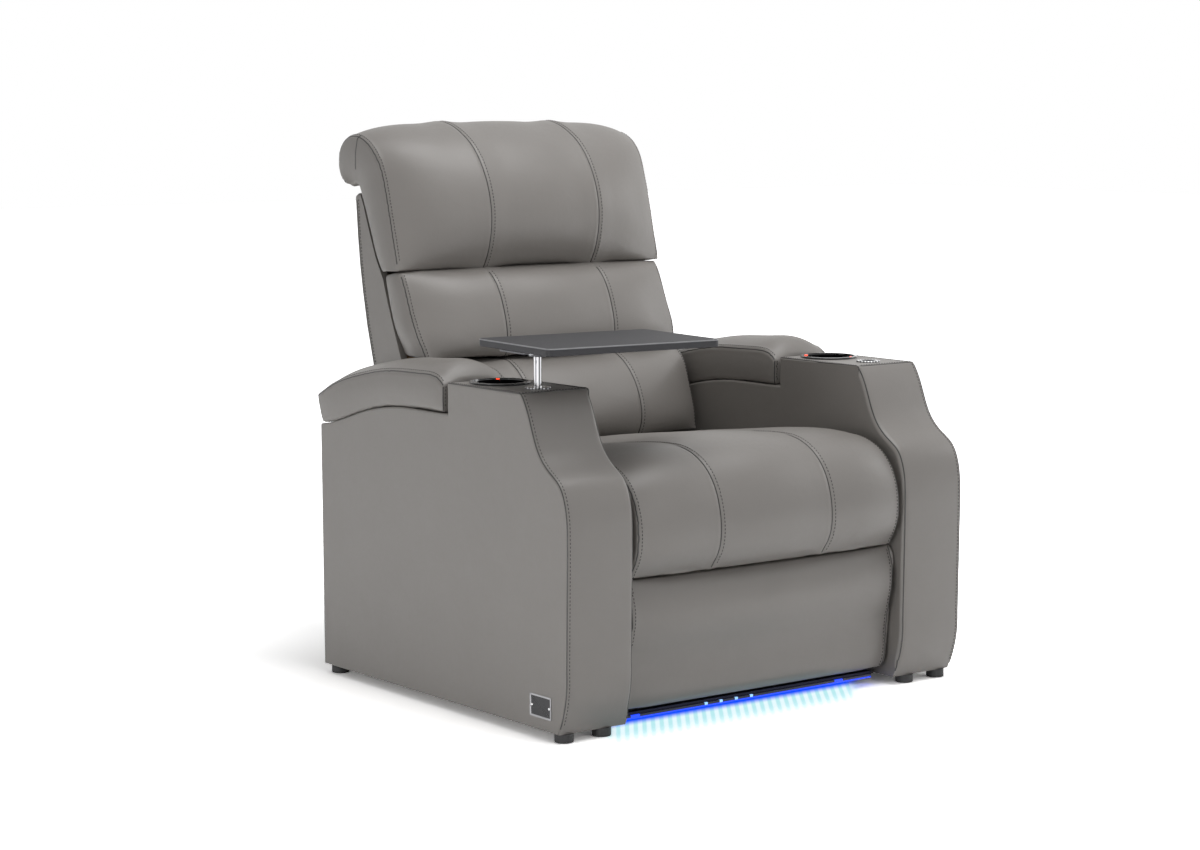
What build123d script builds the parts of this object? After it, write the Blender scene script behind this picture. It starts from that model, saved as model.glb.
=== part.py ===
# Powered cinema recliner seat: two hollow upholstered arms on a steel base, three stacked back
# cushions, a channelled seat, a swing-out footrest and a swivelling tray.
# Millimetres. X runs across the seat, -Y is the front, +Z is up, the floor is Z = 0.
# Y is measured from the front of the arms; everything is shifted by MID_Y when it is written.
import os
from math import cos, hypot, radians, sin
from build123d import *

os.makedirs("parts", exist_ok=True)

# Overall
WIDTH = 930.0
ARM_W = 146.0
MID_Y = 450.1
INNER = WIDTH / 2 - ARM_W              # inner face of each arm
ARM_X = WIDTH / 2 - ARM_W / 2          # middle plane of each arm
FLOOR_GAP = 16.0
ARM_REAR = 768.0
DECK_Z = 596.0
DECK_FRONT = 114.0
DECK_REAR = 337.0
LEDGE_Z = 539.0
ARCH_FRONT = 465.0                     # where the ledge under the lid starts to curve down
SKIN = 12.0                            # foam and leather over the arm's frame
SEAM_GAP = 1.5
SEAM_X = 131.0                         # channel seams of the seat and back
SEAT_GAP = 3.0                         # seat cushion to each arm
BACK_GAP = 6.0                         # back to each arm, which it swings past
FOOT_GAP = 4.0                         # footrest panel to each arm
CUSHION_HALF = INNER - SEAT_GAP
BACK_HALF = INNER - BACK_GAP
FOOT_HALF = INNER - FOOT_GAP

# Fits
RUN = 0.05                             # radial clearance of a running fit
LOOSE = 0.3                            # radial clearance round a fixed fastener

# Footrest linkage, seen from the side as (y, z)
LINK = 170.0
SWING = 85.0
A_BASE = (105.0, 235.0)
A_END = (A_BASE[0], A_BASE[1] - LINK)
B_OFFSET = (40.0, -28.0)
FOOT_HINGE = (52.0, 225.0)
CRANK_R = 25.0
CRANK_ANGLE = 60.8
LINK_W = 24.0
PLATE_T = 4.0                          # side plates of the base
PLATE_X = (INNER - PLATE_T, INNER)
LINK_X = (PLATE_X[0] - 9, PLATE_X[0] - 4)
CARRIER_X = (LINK_X[0] - 8, LINK_X[0] - 3)
PIN_R = 6.0
SHAFT_R = 8.0
DRIVE_R = 60.0
DRIVE_X = -70.0
DRIVE_PIN_R = 5.0

# Back and headrest pivots
HINGE_X = (BACK_HALF - 16, BACK_HALF - 10)
RECLINE = (620.0, 335.0)
RECLINE_PIN_R = 8.0
LEVER = (31.0, -90.0)
LEVER_X = 70.0
HEAD_HINGE = (722.0, 785.0)
HEAD_PIN_R = 5.0
HEAD_LEVER = (68.0, -25.0)
HEAD_AXIS = (0.134, 0.991)

# Lids
LID_HINGE = (ARM_REAR + 8, 479.0)
LID_PIN_R = 3.0
LID_FRONT = 352.0
BOARD_T = 10.0

# Deck fittings
CUP_Y = 276.0
CUP_R = 42.0
CUP_DEPTH = 78.0
CUP_FLANGE_R = 50.0
CUP_RING_R = CUP_FLANGE_R + 5
POST_Y = 163.0
POST_R = 7.0
SOCKET_R = 13.0
GROMMET_R = 23.0
SOCKET_DEPTH = 90.0
BUTTON_R = 3.0

# Tray
TRAY_Z = DECK_Z + 68                   # underside of the board
POST_TOP = TRAY_Z - 12                 # where the spindle starts
TRAY_T = 14.0
TRAY_W = 354.0
TRAY_D = 246.0
TRAY_EDGE = (54.0, 128.0)              # post axis from the left and front edges
TRAY_TURN = -5.0


# ---------------------------------------------------------------- helpers
def save(name, shape):
    shape = Pos(0, -MID_Y, 0) * shape
    shape.label = name
    export_step(shape, "parts/" + name + ".step")


def both(shape):
    return shape, mirror(shape, Plane.YZ)


def group(*shapes):
    return Compound(children=[s for s in shapes])


def side_face(edges):
    return make_face(Plane.YZ * edges)


def prism(points, x0, x1):
    """Polygon of (y, z) points drawn out along X."""
    face = make_face(Polyline(*points, close=True))
    return extrude(Plane.YZ.offset(x0) * face, x1 - x0)


def block(x0, x1, y0, y1, z0, z1):
    return Pos((x0 + x1) / 2, (y0 + y1) / 2, (z0 + z1) / 2) * Box(x1 - x0, y1 - y0, z1 - z0)


def rod_x(at, r, x0, x1):
    return Pos((x0 + x1) / 2, at[0], at[1]) * Rot(0, 90, 0) * Cylinder(r, x1 - x0)


def post_z(x, y, r, z0, z1):
    return Pos(x, y, (z0 + z1) / 2) * Cylinder(r, z1 - z0)


def rod_y(x, z, r, y0, y1):
    return Pos(x, (y0 + y1) / 2, z) * Rot(90, 0, 0) * Cylinder(r, y1 - y0)


def bar(a, b, width, x0, x1):
    """Flat bar with round ends between two points of the side view."""
    dy, dz = b[0] - a[0], b[1] - a[1]
    k = width / 2 / hypot(dy, dz)
    ny, nz = -dz * k, dy * k
    body = prism([(a[0] + ny, a[1] + nz), (b[0] + ny, b[1] + nz),
                  (b[0] - ny, b[1] - nz), (a[0] - ny, a[1] - nz)], x0, x1)
    return body + rod_x(a, width / 2, x0, x1) + rod_x(b, width / 2, x0, x1)


def shift(a, b):
    return a[0] + b[0], a[1] + b[1]


# ---------------------------------------------------------------- channelled cushions
def channel_section(inner, outer, half, side, crown, tuck):
    """One cross-section: flat back, drawn-in sides and three crowned channels."""
    height = hypot(outer[0] - inner[0], outer[1] - inner[1])
    vy, vz = (outer[0] - inner[0]) / height, (outer[1] - inner[1]) / height

    def p(x, h):
        return Vector(x, inner[0] + vy * h, inner[1] + vz * h)

    edge = half - tuck
    low = height * side
    mid = (edge + SEAM_X) / 2
    rise = (low + height) / 2 + crown + 0.18 * (height - low)
    return Face(Wire([
        Line(p(-edge, 0), p(edge, 0)),
        ThreePointArc(p(edge, 0), p(half, low * 0.55), p(edge, low)),
        ThreePointArc(p(edge, low), p(mid, rise), p(SEAM_X, height)),
        ThreePointArc(p(SEAM_X, height), p(0, height + crown * 1.25), p(-SEAM_X, height)),
        ThreePointArc(p(-SEAM_X, height), p(-mid, rise), p(-edge, low)),
        ThreePointArc(p(-edge, low), p(-half, low * 0.55), p(-edge, 0))]))


def channel_cushion(stations, half, crown, tuck=7.0):
    return loft([channel_section(i, o, half, s, crown * c, tuck) for i, o, s, c in stations])


# Each station: point on the flat back, point on the channel seam, height of the side seam
# against the channel seam, share of the full crown.
SEAT = [((532, 312.1), (533, 432), 0.93, 0.5), ((480, 312.1), (480, 439), 0.93, 0.9),
        ((420, 312.1), (420, 447), 0.93, 1.0), ((350, 312.1), (348, 456), 0.93, 1.0),
        ((280, 312.1), (276, 465), 0.93, 1.0), ((210, 312.1), (204, 474), 0.93, 1.0),
        ((150, 312.1), (136, 480), 0.93, 1.0), ((106, 312.1), (84, 479), 0.93, 1.0),
        ((78, 312.1), (42, 466), 0.93, 1.0), ((65, 310.6), (8, 441), 0.93, 1.0),
        ((54, 303), (-16, 402), 0.92, 1.0), ((48, 294), (-26, 360), 0.89, 1.0),
        ((46, 286), (-25, 322), 0.86, 0.9), ((45, 278), (-12, 292), 0.86, 0.6),
        ((44, 270), (3, 270), 0.9, 0.3)]
LUMBAR = [((632, 424), (549, 434), 0.74, 0.4), ((645, 452), (535, 461), 0.62, 1.0),
          ((660, 486), (535, 495), 0.6, 1.0), ((676, 520), (548, 530), 0.62, 1.0),
          ((691, 555), (571, 562), 0.7, 1.0), ((704, 582), (600, 585), 0.78, 0.7),
          ((711, 597), (622, 595), 0.86, 0.3)]
MIDBACK = [((716, 606), (628, 602), 0.84, 0.3), ((722, 620), (622, 622), 0.72, 0.9),
           ((735, 650), (622, 656), 0.62, 1.0), ((748, 680), (632, 692), 0.57, 1.0),
           ((759, 708), (649, 722), 0.57, 1.0), ((768, 732), (674, 745), 0.62, 0.8),
           ((774, 750), (706, 759), 0.8, 0.3)]
HEAD = [((770, 769), (711, 774), 0.9, 0.3), ((792, 797), (689, 806), 0.66, 0.9),
        ((812, 838), (677, 856), 0.55, 1.0), ((830, 880), (683, 910), 0.54, 1.0),
        ((843, 908), (704, 958), 0.58, 1.0), ((850, 922), (742, 1003), 0.66, 1.0),
        ((854, 929), (798, 1035), 0.74, 0.9), ((858, 932), (856, 1046), 0.78, 0.8),
        ((862, 932), (905, 1028), 0.82, 0.7), ((866, 929), (931, 981), 0.88, 0.6),
        ((870, 924), (908, 937), 0.95, 0.3)]
PAD = [((33, 260), (10, 262), 0.9, 0.1), ((33, 250), (2, 250), 0.94, 0.8),
       ((33, 150), (3, 150), 0.94, 1.0), ((36, 70), (12, 66), 0.92, 1.0),
       ((40, 38), (22, 34), 0.9, 0.6), ((42, 30), (33, 27), 0.85, 0.1)]


def flat_section(inner, outer, half, crown, tuck):
    """Cross-section of a plain panel: one crowned face and drawn-in sides."""
    height = hypot(outer[0] - inner[0], outer[1] - inner[1])
    vy, vz = (outer[0] - inner[0]) / height, (outer[1] - inner[1]) / height

    def p(x, h):
        return Vector(x, inner[0] + vy * h, inner[1] + vz * h)

    edge = half - tuck
    low = height * 0.8
    return Face(Wire([
        Line(p(-edge, 0), p(edge, 0)),
        ThreePointArc(p(edge, 0), p(half, low * 0.5), p(edge, low)),
        ThreePointArc(p(edge, low), p(0, height + crown), p(-edge, low)),
        ThreePointArc(p(-edge, low), p(-half, low * 0.5), p(-edge, 0))]))


# ---------------------------------------------------------------- arms
def arm_outline(inset=0.0):
    """Side view of an arm below its lid: S-shaped front, level deck, arched ledge."""
    d = inset
    front = Spline((DECK_FRONT + d * 0.3, DECK_Z - d), (87 + d, 548), (62 + d, 496 - d * 0.4),
                   (31 + d * 0.6, 468 - d), (4 + d * 0.7, 449 - d), (-11 + d, 422 - d * 0.3),
                   (-19 + d, 375), (-19.5 + d, 330))
    shin = Line((-19.5 + d, 330), (-17 + d, 130))
    toe = ThreePointArc((-17 + d, 130), (-12 + d, 68), (7 + d, FLOOR_GAP + d))
    sole = Line((7 + d, FLOOR_GAP + d), (ARM_REAR - 4 - d, FLOOR_GAP + d))
    rear = Line((ARM_REAR - 4 - d, FLOOR_GAP + d), (ARM_REAR - d, 482 - d))
    arch = Spline((ARM_REAR - d, 482 - d), (692, 497.5 - d), (614, 520 - d), (526, 535.5 - d),
                  (ARCH_FRONT, LEDGE_Z - d))
    ledge = Line((ARCH_FRONT, LEDGE_Z - d), (DECK_REAR - d, LEDGE_Z - d))
    step = Line((DECK_REAR - d, LEDGE_Z - d), (DECK_REAR - d, DECK_Z - d))
    deck = Line((DECK_REAR - d, DECK_Z - d), (DECK_FRONT + d * 0.3, DECK_Z - d))
    return [front, shin, toe, sole, rear, arch, ledge, step, deck]


def arm_solid(inset, x0, x1):
    face = make_face(arm_outline(inset))
    return extrude(Plane.YZ.offset(x0) * face, x1 - x0)


BIN_GAP = 15.0                         # bin to the inside of the arm's skin
BIN = dict(x=ARM_W / 2 - SKIN - BIN_GAP, y0=388.0, y1=694.0, z0=330.0, z1=489.0, wall=3.0)


def arm_cover():
    """Foam and leather skin of the right arm, hollow, with its storage, cup and post openings."""
    solid = arm_solid(0.0, INNER, WIDTH / 2)
    rims = [e for e in solid.edges().filter_by(GeomType.LINE)
            if abs(e.center().X - INNER) < 0.1 and e.center().Y < 0 and e.center().Z > 100]
    solid = fillet(rims, 12.0)
    hollow = arm_solid(SKIN, INNER + SKIN, WIDTH / 2 - SKIN)
    cover = solid - hollow
    cover -= block(ARM_X - BIN["x"] - 8, ARM_X + BIN["x"] + 8, BIN["y0"] - 8, BIN["y1"] + 8, 480, 600)
    cover -= post_z(ARM_X, CUP_Y, CUP_FLANGE_R, 570, 610)
    cover -= post_z(ARM_X, POST_Y, SOCKET_R + 4.2, 570, 610)
    for y, z in BOLTS:
        cover -= rod_x((y, z), BOLT_R + LOOSE, INNER - 1, INNER + SKIN + 1)
    return cover


BOLTS = [(230.0, 110.0), (230.0, 250.0), (430.0, 110.0), (430.0, 250.0)]
BOLT_R = 4.0
PLY = 12.0


def arm_frame():
    """Plywood frame inside the right arm: inner and outer panel, posts and floor."""
    x0, x1 = INNER + SKIN, WIDTH / 2 - SKIN
    body = arm_solid(SKIN, x0, x0 + PLY) + arm_solid(SKIN, x1 - PLY, x1)
    floor = block(x0, x1, 24, ARM_REAR - 18, FLOOR_GAP + SKIN, FLOOR_GAP + SKIN + PLY)
    front = block(x0, x1, 40, 60, FLOOR_GAP + SKIN, 400)
    middle = block(x0, x1, 350, 368, FLOOR_GAP + SKIN, 470)
    back = block(x0, x1, 730, 748, FLOOR_GAP + SKIN, 440)
    body = body + floor + front + middle + back
    body -= post_z(ARM_X, CUP_Y, CUP_FLANGE_R + 6, 470, 600)
    body -= block(ARM_X - BIN["x"] - 8, ARM_X + BIN["x"] + 8, BIN["y0"] - 8, BIN["y1"] + 8, 300, 600)
    body += block(x0, x1, BIN["y0"] - 6, BIN["y1"] + 6, BIN["z0"] - 12, BIN["z0"])
    for y, z in BOLTS:
        body -= rod_x((y, z), BOLT_R + LOOSE, x0 - 1, x0 + PLY + 1)
    return body


def storage_bin():
    b = BIN
    outer = block(ARM_X - b["x"], ARM_X + b["x"], b["y0"], b["y1"], b["z0"], b["z1"])
    w = b["wall"]
    inner = block(ARM_X - b["x"] + w, ARM_X + b["x"] - w, b["y0"] + w, b["y1"] - w,
                  b["z0"] + w, b["z1"] + 1)
    rim = block(ARM_X - b["x"] - 7, ARM_X + b["x"] + 7, b["y0"] - 7, b["y1"] + 7,
                b["z1"] - 3, b["z1"])
    return outer + rim - inner


def cup_liner():
    cup = post_z(ARM_X, CUP_Y, CUP_R + 3, DECK_Z - CUP_DEPTH, DECK_Z)
    cup += post_z(ARM_X, CUP_Y, CUP_FLANGE_R - RUN, DECK_Z - 6, DECK_Z + 2)
    cup -= post_z(ARM_X, CUP_Y, CUP_R, DECK_Z - CUP_DEPTH + 3, DECK_Z + 3)
    for x, y in button_places():
        cup -= post_z(x, y, BUTTON_R + RUN, DECK_Z - 2, DECK_Z + 3)
    return cup


def button_places():
    r = (CUP_R + CUP_FLANGE_R) / 2
    return [(ARM_X + r * cos(radians(a)), CUP_Y + r * sin(radians(a))) for a in (-60.0, 120.0)]


def cup_button(x, y):
    return post_z(x, y, BUTTON_R, DECK_Z - 0.5, DECK_Z + 3.2)


def cup_ring():
    ring = post_z(ARM_X, CUP_Y, CUP_RING_R, DECK_Z, DECK_Z + 4)
    ring = fillet(ring.edges().group_by(Axis.Z)[-1], 1.6)
    return ring - post_z(ARM_X, CUP_Y, CUP_FLANGE_R, DECK_Z - 1, DECK_Z + 5)


def grommet():
    """Chrome flange with the socket tube that takes the tray post."""
    flange = post_z(ARM_X, POST_Y, GROMMET_R, DECK_Z, DECK_Z + 3)
    flange = fillet(flange.edges().group_by(Axis.Z)[-1], 1.5)
    tube = post_z(ARM_X, POST_Y, SOCKET_R + 4, DECK_Z - SOCKET_DEPTH - 4, DECK_Z)
    bore = post_z(ARM_X, POST_Y, SOCKET_R + RUN, DECK_Z - SOCKET_DEPTH, DECK_Z + 4)
    return flange + tube - bore


# ---------------------------------------------------------------- lids
def arch_edge(rise):
    return Spline((ARM_REAR, 482 + rise), (692, 497.5 + rise), (614, 520 + rise),
                  (526, 535.5 + rise), (ARCH_FRONT, LEDGE_Z + rise))


def lid_board():
    """Curved plywood under the lid's pad."""
    low, high = SEAM_GAP, SEAM_GAP + BOARD_T
    front = LID_FRONT + 10
    edges = [arch_edge(low), Line((ARCH_FRONT, LEDGE_Z + low), (front, LEDGE_Z + low)),
             Line((front, LEDGE_Z + low), (front, LEDGE_Z + high)),
             Line((front, LEDGE_Z + high), (ARCH_FRONT, LEDGE_Z + high)), arch_edge(high),
             Line((ARM_REAR, 482 + high), (ARM_REAR, 482 + low))]
    return extrude(Plane.YZ.offset(INNER + 10) * make_face(edges), ARM_W - 20)


LID = [((353, 541), (353, 588), 14), ((372, 541), (376, 603), 23), ((440, 541), (440, 606), 25),
       ((517, 537.7), (517, 604), 22), ((604, 524), (602, 593), 22), ((680, 502.3), (672, 578), 24),
       ((738, 489.5), (738, 557), 24), ((769, 483.5), (789, 536), 12)]


def lid_section(inner, outer, crown):
    """Cross-section of a lid's pad between its side seams, with a crowned top."""
    height = hypot(outer[0] - inner[0], outer[1] - inner[1])
    vy, vz = (outer[0] - inner[0]) / height, (outer[1] - inner[1]) / height
    x0, x1 = INNER + 0.5, WIDTH / 2 - 0.5
    bulge = 1.5

    def p(x, h):
        return Vector(x, inner[0] + vy * h, inner[1] + vz * h)

    return Face(Wire([
        Line(p(x0 + bulge, 0), p(x1 - bulge, 0)),
        ThreePointArc(p(x1 - bulge, 0), p(x1, height / 2), p(x1 - bulge, height)),
        ThreePointArc(p(x1 - bulge, height), p(ARM_X, height + crown), p(x0 + bulge, height)),
        ThreePointArc(p(x0 + bulge, height), p(x0, height / 2), p(x0 + bulge, 0))]))


def lid_pad():
    return loft([lid_section(i, o, c) for i, o, c in LID]) - lid_board()


def lid_hinge_leaf():
    """Moving leaf and knuckle under the rear edge of the lid."""
    knuckle = rod_x(LID_HINGE, 5, ARM_X - 30, ARM_X + 30)
    tongue = prism([(771.5, 482), (781.5, 512), (783.5, 512), (779, 482)], ARM_X - 30, ARM_X + 30)
    return knuckle + tongue - rod_x(LID_HINGE, LID_PIN_R + RUN, ARM_X - 31, ARM_X + 31)


def lid_hinge_fixed():
    """Pin and its two ears on the rear of the arm."""
    pin = rod_x(LID_HINGE, LID_PIN_R, ARM_X - 42, ARM_X + 42)
    ears = [block(x - 5, x + 5, ARM_REAR, LID_HINGE[0] + 4, LID_HINGE[1] - 14, LID_HINGE[1] + 4)
            for x in (ARM_X - 37, ARM_X + 37)]
    return pin + ears[0] + ears[1]


# ---------------------------------------------------------------- steel base
B_BASE = shift(A_BASE, B_OFFSET)
B_END = shift(A_END, B_OFFSET)
SEAT_RAIL_Z = (285.0, 310.0)


def side_plate():
    outline = [(60, 14), (744, 14), (744, 64), (664, 140), (652, 365), (590, 365), (556, 310),
               (84, 310), (60, 240)]
    plate = prism(outline, *PLATE_X)
    for y, z in BOLTS:
        plate -= rod_x((y, z), BOLT_R + LOOSE, PLATE_X[0] - 1, PLATE_X[1] + 1)
    stubs = [rod_x(A_BASE, PIN_R, LINK_X[0] - 4, PLATE_X[0]),
             rod_x(B_BASE, PIN_R, LINK_X[0] - 4, PLATE_X[0]),
             rod_x(RECLINE, RECLINE_PIN_R, HINGE_X[0] - 2, PLATE_X[0])]
    return plate + stubs[0] + stubs[1] + stubs[2]


def base_frame():
    """Welded side plates, square cross tubes and the plate that carries the drives."""
    x = PLATE_X[0]
    tubes = [block(-x, x, 60, 85, 14, 30), block(-x, x, 250, 275, 112, 137),
             block(-x, x, 455, 480, 112, 137), block(-x, x, 690, 715, 30, 55)]
    frame = block(-150, 150, 235, 495, 137, 140)
    for part in tubes + list(both(side_plate())):
        frame += part
    return frame


def arm_bolts():
    bolts = []
    for y, z in BOLTS:
        shank = rod_x((y, z), BOLT_R, PLATE_X[0], INNER + SKIN + PLY + 8)
        head = rod_x((y, z), BOLT_R * 1.7, PLATE_X[0] - 5, PLATE_X[0])
        bolts += both(shank + head)
    return group(*bolts)


def feet():
    spots = [(x, y) for x in (361.0, 442.0) for y in (20.0, 742.0)]
    solids = []
    for x, y in spots:
        foot = post_z(x, y, 17, 0, FLOOR_GAP)
        foot = fillet(foot.edges().group_by(Axis.Z)[0], 2.0)
        solids += both(foot)
    return group(*solids)


def seat_frame():
    z0, z1 = SEAT_RAIL_Z
    x = PLATE_X[0]
    return (block(-x, x, 68, 520, z0, z1) - block(25 - x, x - 25, 93, 495, z0 - 1, z1 + 1))


def seat_webbing():
    z = SEAT_RAIL_Z[1]
    return group(*[block(x - 25, x + 25, 85, 518, z, z + 1.5) for x in (-220, -110, 0, 110, 220)])


def seat_cushion():
    return channel_cushion(SEAT, CUSHION_HALF, 11.0)


LED_HALF = INNER - 19
LED_Y = 46.0


def led_channel():
    return block(-LED_HALF, LED_HALF, LED_Y, 60, 12, 24)


def led_strip():
    return block(3 - LED_HALF, LED_HALF - 3, LED_Y - 3, LED_Y, 12, 19)


def nameplate():
    """Bare plate held by two rivets."""
    plate = block(-WIDTH / 2 - 1.2, -WIDTH / 2, 25, 87, 38.5, 78.5)
    plate = fillet(plate.edges().filter_by(Axis.X), 3)
    for y in (31, 81):
        plate += rod_x((y, 58.5), 2.5, -WIDTH / 2 - 2.4, -WIDTH / 2 - 1.2)
    return plate


INLET_Z = 79.0
INLET_R = 4.0


def control_box():
    """Power supply and control unit with its round supply socket at the rear."""
    box = block(-70, 70, 625, 690, 60, 98)
    box = fillet(box.edges().filter_by(Axis.Z), 5)
    foot = block(-40, 40, 660, 700, 55, 60)
    inlet = rod_y(0, INLET_Z, 9, 690, 704)
    return box + foot + inlet - rod_y(0, INLET_Z, INLET_R, 692, 705)


# ---------------------------------------------------------------- drives
DRIVE_START = (DRIVE_R * sin(radians(SWING / 2)), -DRIVE_R * cos(radians(SWING / 2)))
DRIVE_PIN = shift(A_BASE, DRIVE_START)
DRIVE_Z = 183.0
YOKE_GAP = 6.5
RECLINE_PIN = shift(RECLINE, LEVER)
RECLINE_Z = 242.5
ROD_R = 7.0


def drive_housing(x, z, y0, y1, bore0, bore1):
    """Motor tube with its gearbox and saddle on the drive plate."""
    tube = rod_y(x, z, 22, y0, y1)
    motor = block(x - 18, x + 18, min(bore0, bore1), min(bore0, bore1) + 60, 140, z)
    saddle = block(x - 12, x + 12, max(bore0, bore1) - 50, max(bore0, bore1) - 20, 140, z)
    return tube + motor + saddle - rod_y(x, z, ROD_R + RUN, bore0, bore1)


def footrest_drive():
    return drive_housing(DRIVE_X + YOKE_GAP, DRIVE_Z, 240, 470, 239, 410)


def recline_drive():
    return drive_housing(LEVER_X - YOKE_GAP, RECLINE_Z, 250, 480, 320, 481)


def yoke(x, pin, z, low, high, play):
    """Slotted plate that a lever's drive pin slides in."""
    plate = block(x - 2.5, x + 2.5, pin[0] - 16, pin[0] + 16, low - 12, high + 12)
    return plate - block(x - 3, x + 3, pin[0] - play, pin[0] + play, low, high)


def footrest_rod():
    x = DRIVE_X + YOKE_GAP
    play = DRIVE_PIN_R + 2.0
    low, high = A_BASE[1] - DRIVE_R - DRIVE_PIN_R - 1.5, DRIVE_PIN[1] + DRIVE_PIN_R + 1.5
    return yoke(x, DRIVE_PIN, DRIVE_Z, low, high, play) + rod_y(x, DRIVE_Z, ROD_R,
                                                               DRIVE_PIN[0] + 16, 340)


def recline_rod():
    x = LEVER_X - YOKE_GAP
    reach = hypot(*LEVER)
    low, high = RECLINE[1] - reach - DRIVE_PIN_R - 1.0, RECLINE_PIN[1] + DRIVE_PIN_R + 1.0
    return yoke(x, RECLINE_PIN, RECLINE_Z, low, high, DRIVE_PIN_R + 0.6) + rod_y(
        x, RECLINE_Z, ROD_R, 400, RECLINE_PIN[0] - 16)


# ---------------------------------------------------------------- footrest
CRANK = (CRANK_R * cos(radians(CRANK_ANGLE)), CRANK_R * sin(radians(CRANK_ANGLE)))
CRANK_X = (60.0, 65.0)
STRUT_X = (53.0, 58.0)


def footrest_arms():
    """Front pair of links with their torsion tube, end shaft, tilt crank and drive lever."""
    right = bar(A_BASE, A_END, LINK_W, *LINK_X)
    left = mirror(right, Plane.YZ)
    tube = rod_x(A_BASE, 12.5, -LINK_X[0], LINK_X[0]) - rod_x(A_BASE, 10, -LINK_X[0], LINK_X[0])
    shaft = rod_x(A_END, SHAFT_R, -LINK_X[1], LINK_X[1])
    crank = bar(A_END, shift(A_END, CRANK), 16, *CRANK_X)
    crank += rod_x(shift(A_END, CRANK), 4, STRUT_X[0] - 1, CRANK_X[1])
    lever = bar(A_BASE, DRIVE_PIN, 20, DRIVE_X - 3, DRIVE_X + 3)
    lever -= rod_x(A_BASE, 11, DRIVE_X - 4, DRIVE_X + 4)
    lever += rod_x(DRIVE_PIN, DRIVE_PIN_R, DRIVE_X - 3, DRIVE_X + 10)
    body = right + left + tube + shaft + crank + lever
    return body - rod_x(A_BASE, PIN_R + RUN, -LINK_X[1] - 1, -LINK_X[0] + 1) - rod_x(
        A_BASE, PIN_R + RUN, LINK_X[0] - 1, LINK_X[1] + 1)


def footrest_links():
    """Rear pair of links; their lower eyes are the linkage's open pivots."""
    right = bar(B_BASE, B_END, LINK_W, *LINK_X)
    right -= rod_x(B_BASE, PIN_R + RUN, LINK_X[0] - 1, LINK_X[1] + 1)
    right -= rod_x(B_END, PIN_R + LOOSE, LINK_X[0] - 1, LINK_X[1] + 1)
    right_left = both(right)
    stay = rod_x((B_BASE[0], B_BASE[1] - 0.75 * LINK), 6, -LINK_X[0] - 1, LINK_X[0] + 1)
    return right_left[0] + right_left[1] + stay


def footrest_carrier():
    """Pair of plates that stay upright and carry the panel's hinge shaft."""
    right = bar(A_END, FOOT_HINGE, LINK_W, *CARRIER_X) + bar(A_END, B_END, LINK_W, *CARRIER_X)
    right -= rod_x(A_END, SHAFT_R + RUN, CARRIER_X[0] - 1, CARRIER_X[1] + 1)
    right += rod_x(B_END, PIN_R, CARRIER_X[0], LINK_X[1])
    pair = both(right)
    shaft = rod_x(FOOT_HINGE, PIN_R, -CARRIER_X[1], CARRIER_X[1])
    return pair[0] + pair[1] + shaft


def tilt_strut():
    a, b = shift(A_END, CRANK), shift(FOOT_HINGE, CRANK)
    strut = bar(a, b, 14, *STRUT_X)
    strut -= rod_x(a, 4 + RUN, STRUT_X[0] - 1, STRUT_X[1] + 1)
    return strut - rod_x(b, 4 + LOOSE, STRUT_X[0] - 1, STRUT_X[1] + 1)


PAD_BACK = 33.0
BOARD_HALF = FOOT_HALF - 27
BOARD_BACK = PAD_BACK + 12
LUG_X = (BOARD_HALF - 8, BOARD_HALF - 3)


def footrest_board():
    return block(-BOARD_HALF, BOARD_HALF, PAD_BACK, BOARD_BACK, 44, 240)


def footrest_brackets():
    """Hinge lugs and tilt crank behind the board."""
    x0, x1 = LUG_X
    lug = block(x0, x1, BOARD_BACK, FOOT_HINGE[0], 205, 245) + rod_x(FOOT_HINGE, 11, x0, x1)
    lug -= block(x0 - 1, x1 + 1, BOARD_BACK - 15, BOARD_BACK, 200, 250)
    lug -= rod_x(FOOT_HINGE, PIN_R + RUN, x0 - 1, x1 + 1)
    pair = both(lug)
    tip = shift(FOOT_HINGE, CRANK)
    crank = prism([(BOARD_BACK, 205), (BOARD_BACK, 240), (56, 256), (68, 256), (74, 247), (60, 210)], *CRANK_X)
    crank += rod_x(tip, 4, STRUT_X[0] - 1, CRANK_X[1])
    crank -= rod_x(FOOT_HINGE, PIN_R + RUN, CRANK_X[0] - 1, CRANK_X[1] + 1)
    base = block(40, 80, BOARD_BACK, BOARD_BACK + 2.1, 200, 218)
    return group(pair[0], pair[1], crank + base)


def footrest_pad():
    pad = loft([flat_section(i, o, FOOT_HALF, 4.0 * c, 5.0) for i, o, s, c in PAD])
    return pad - footrest_board()


# ---------------------------------------------------------------- back
BOARD_X = (BACK_HALF - 10, BACK_HALF)
BACKING_GAP = 1.3                      # cushions and rear shell to the side boards
SHELL_REAR = [(728, 262), (782, 450), (821, 588), (855, 722), (871, 830), (876, 910)]
SHELL_T = 14.0


def side_board():
    stations = LUMBAR[:6] + MIDBACK[1:]
    front = [(inner[0] + BACKING_GAP, inner[1]) for inner, *_ in stations]
    shoulder = [(801, 790), (825, 845), (843, 890), (852, 908)]
    rear = [(y - SHELL_T - BACKING_GAP, z) for y, z in reversed(SHELL_REAR)]
    rear[0] = (rear[0][0], shoulder[-1][1])
    foot = (rear[-1][0] - 24, rear[-1][1])
    return prism(front + shoulder + rear + [foot], *BOARD_X)


def back_frame():
    """Wooden sides and cross rails of the back."""
    pair = both(side_board())
    x = BOARD_X[0]
    frame = pair[0] + pair[1] + block(-x, x, 690, 715, 400, 440)
    frame += block(-x, x, 722, 742, 590, 620)
    frame += block(-x, x, 804, 826, 735, 757)
    notch = bar(RECLINE, BRACKET_END, BRACKET_W + 2, HINGE_X[0] - 1, HINGE_X[1])
    return frame - notch - mirror(notch, Plane.YZ)


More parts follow.
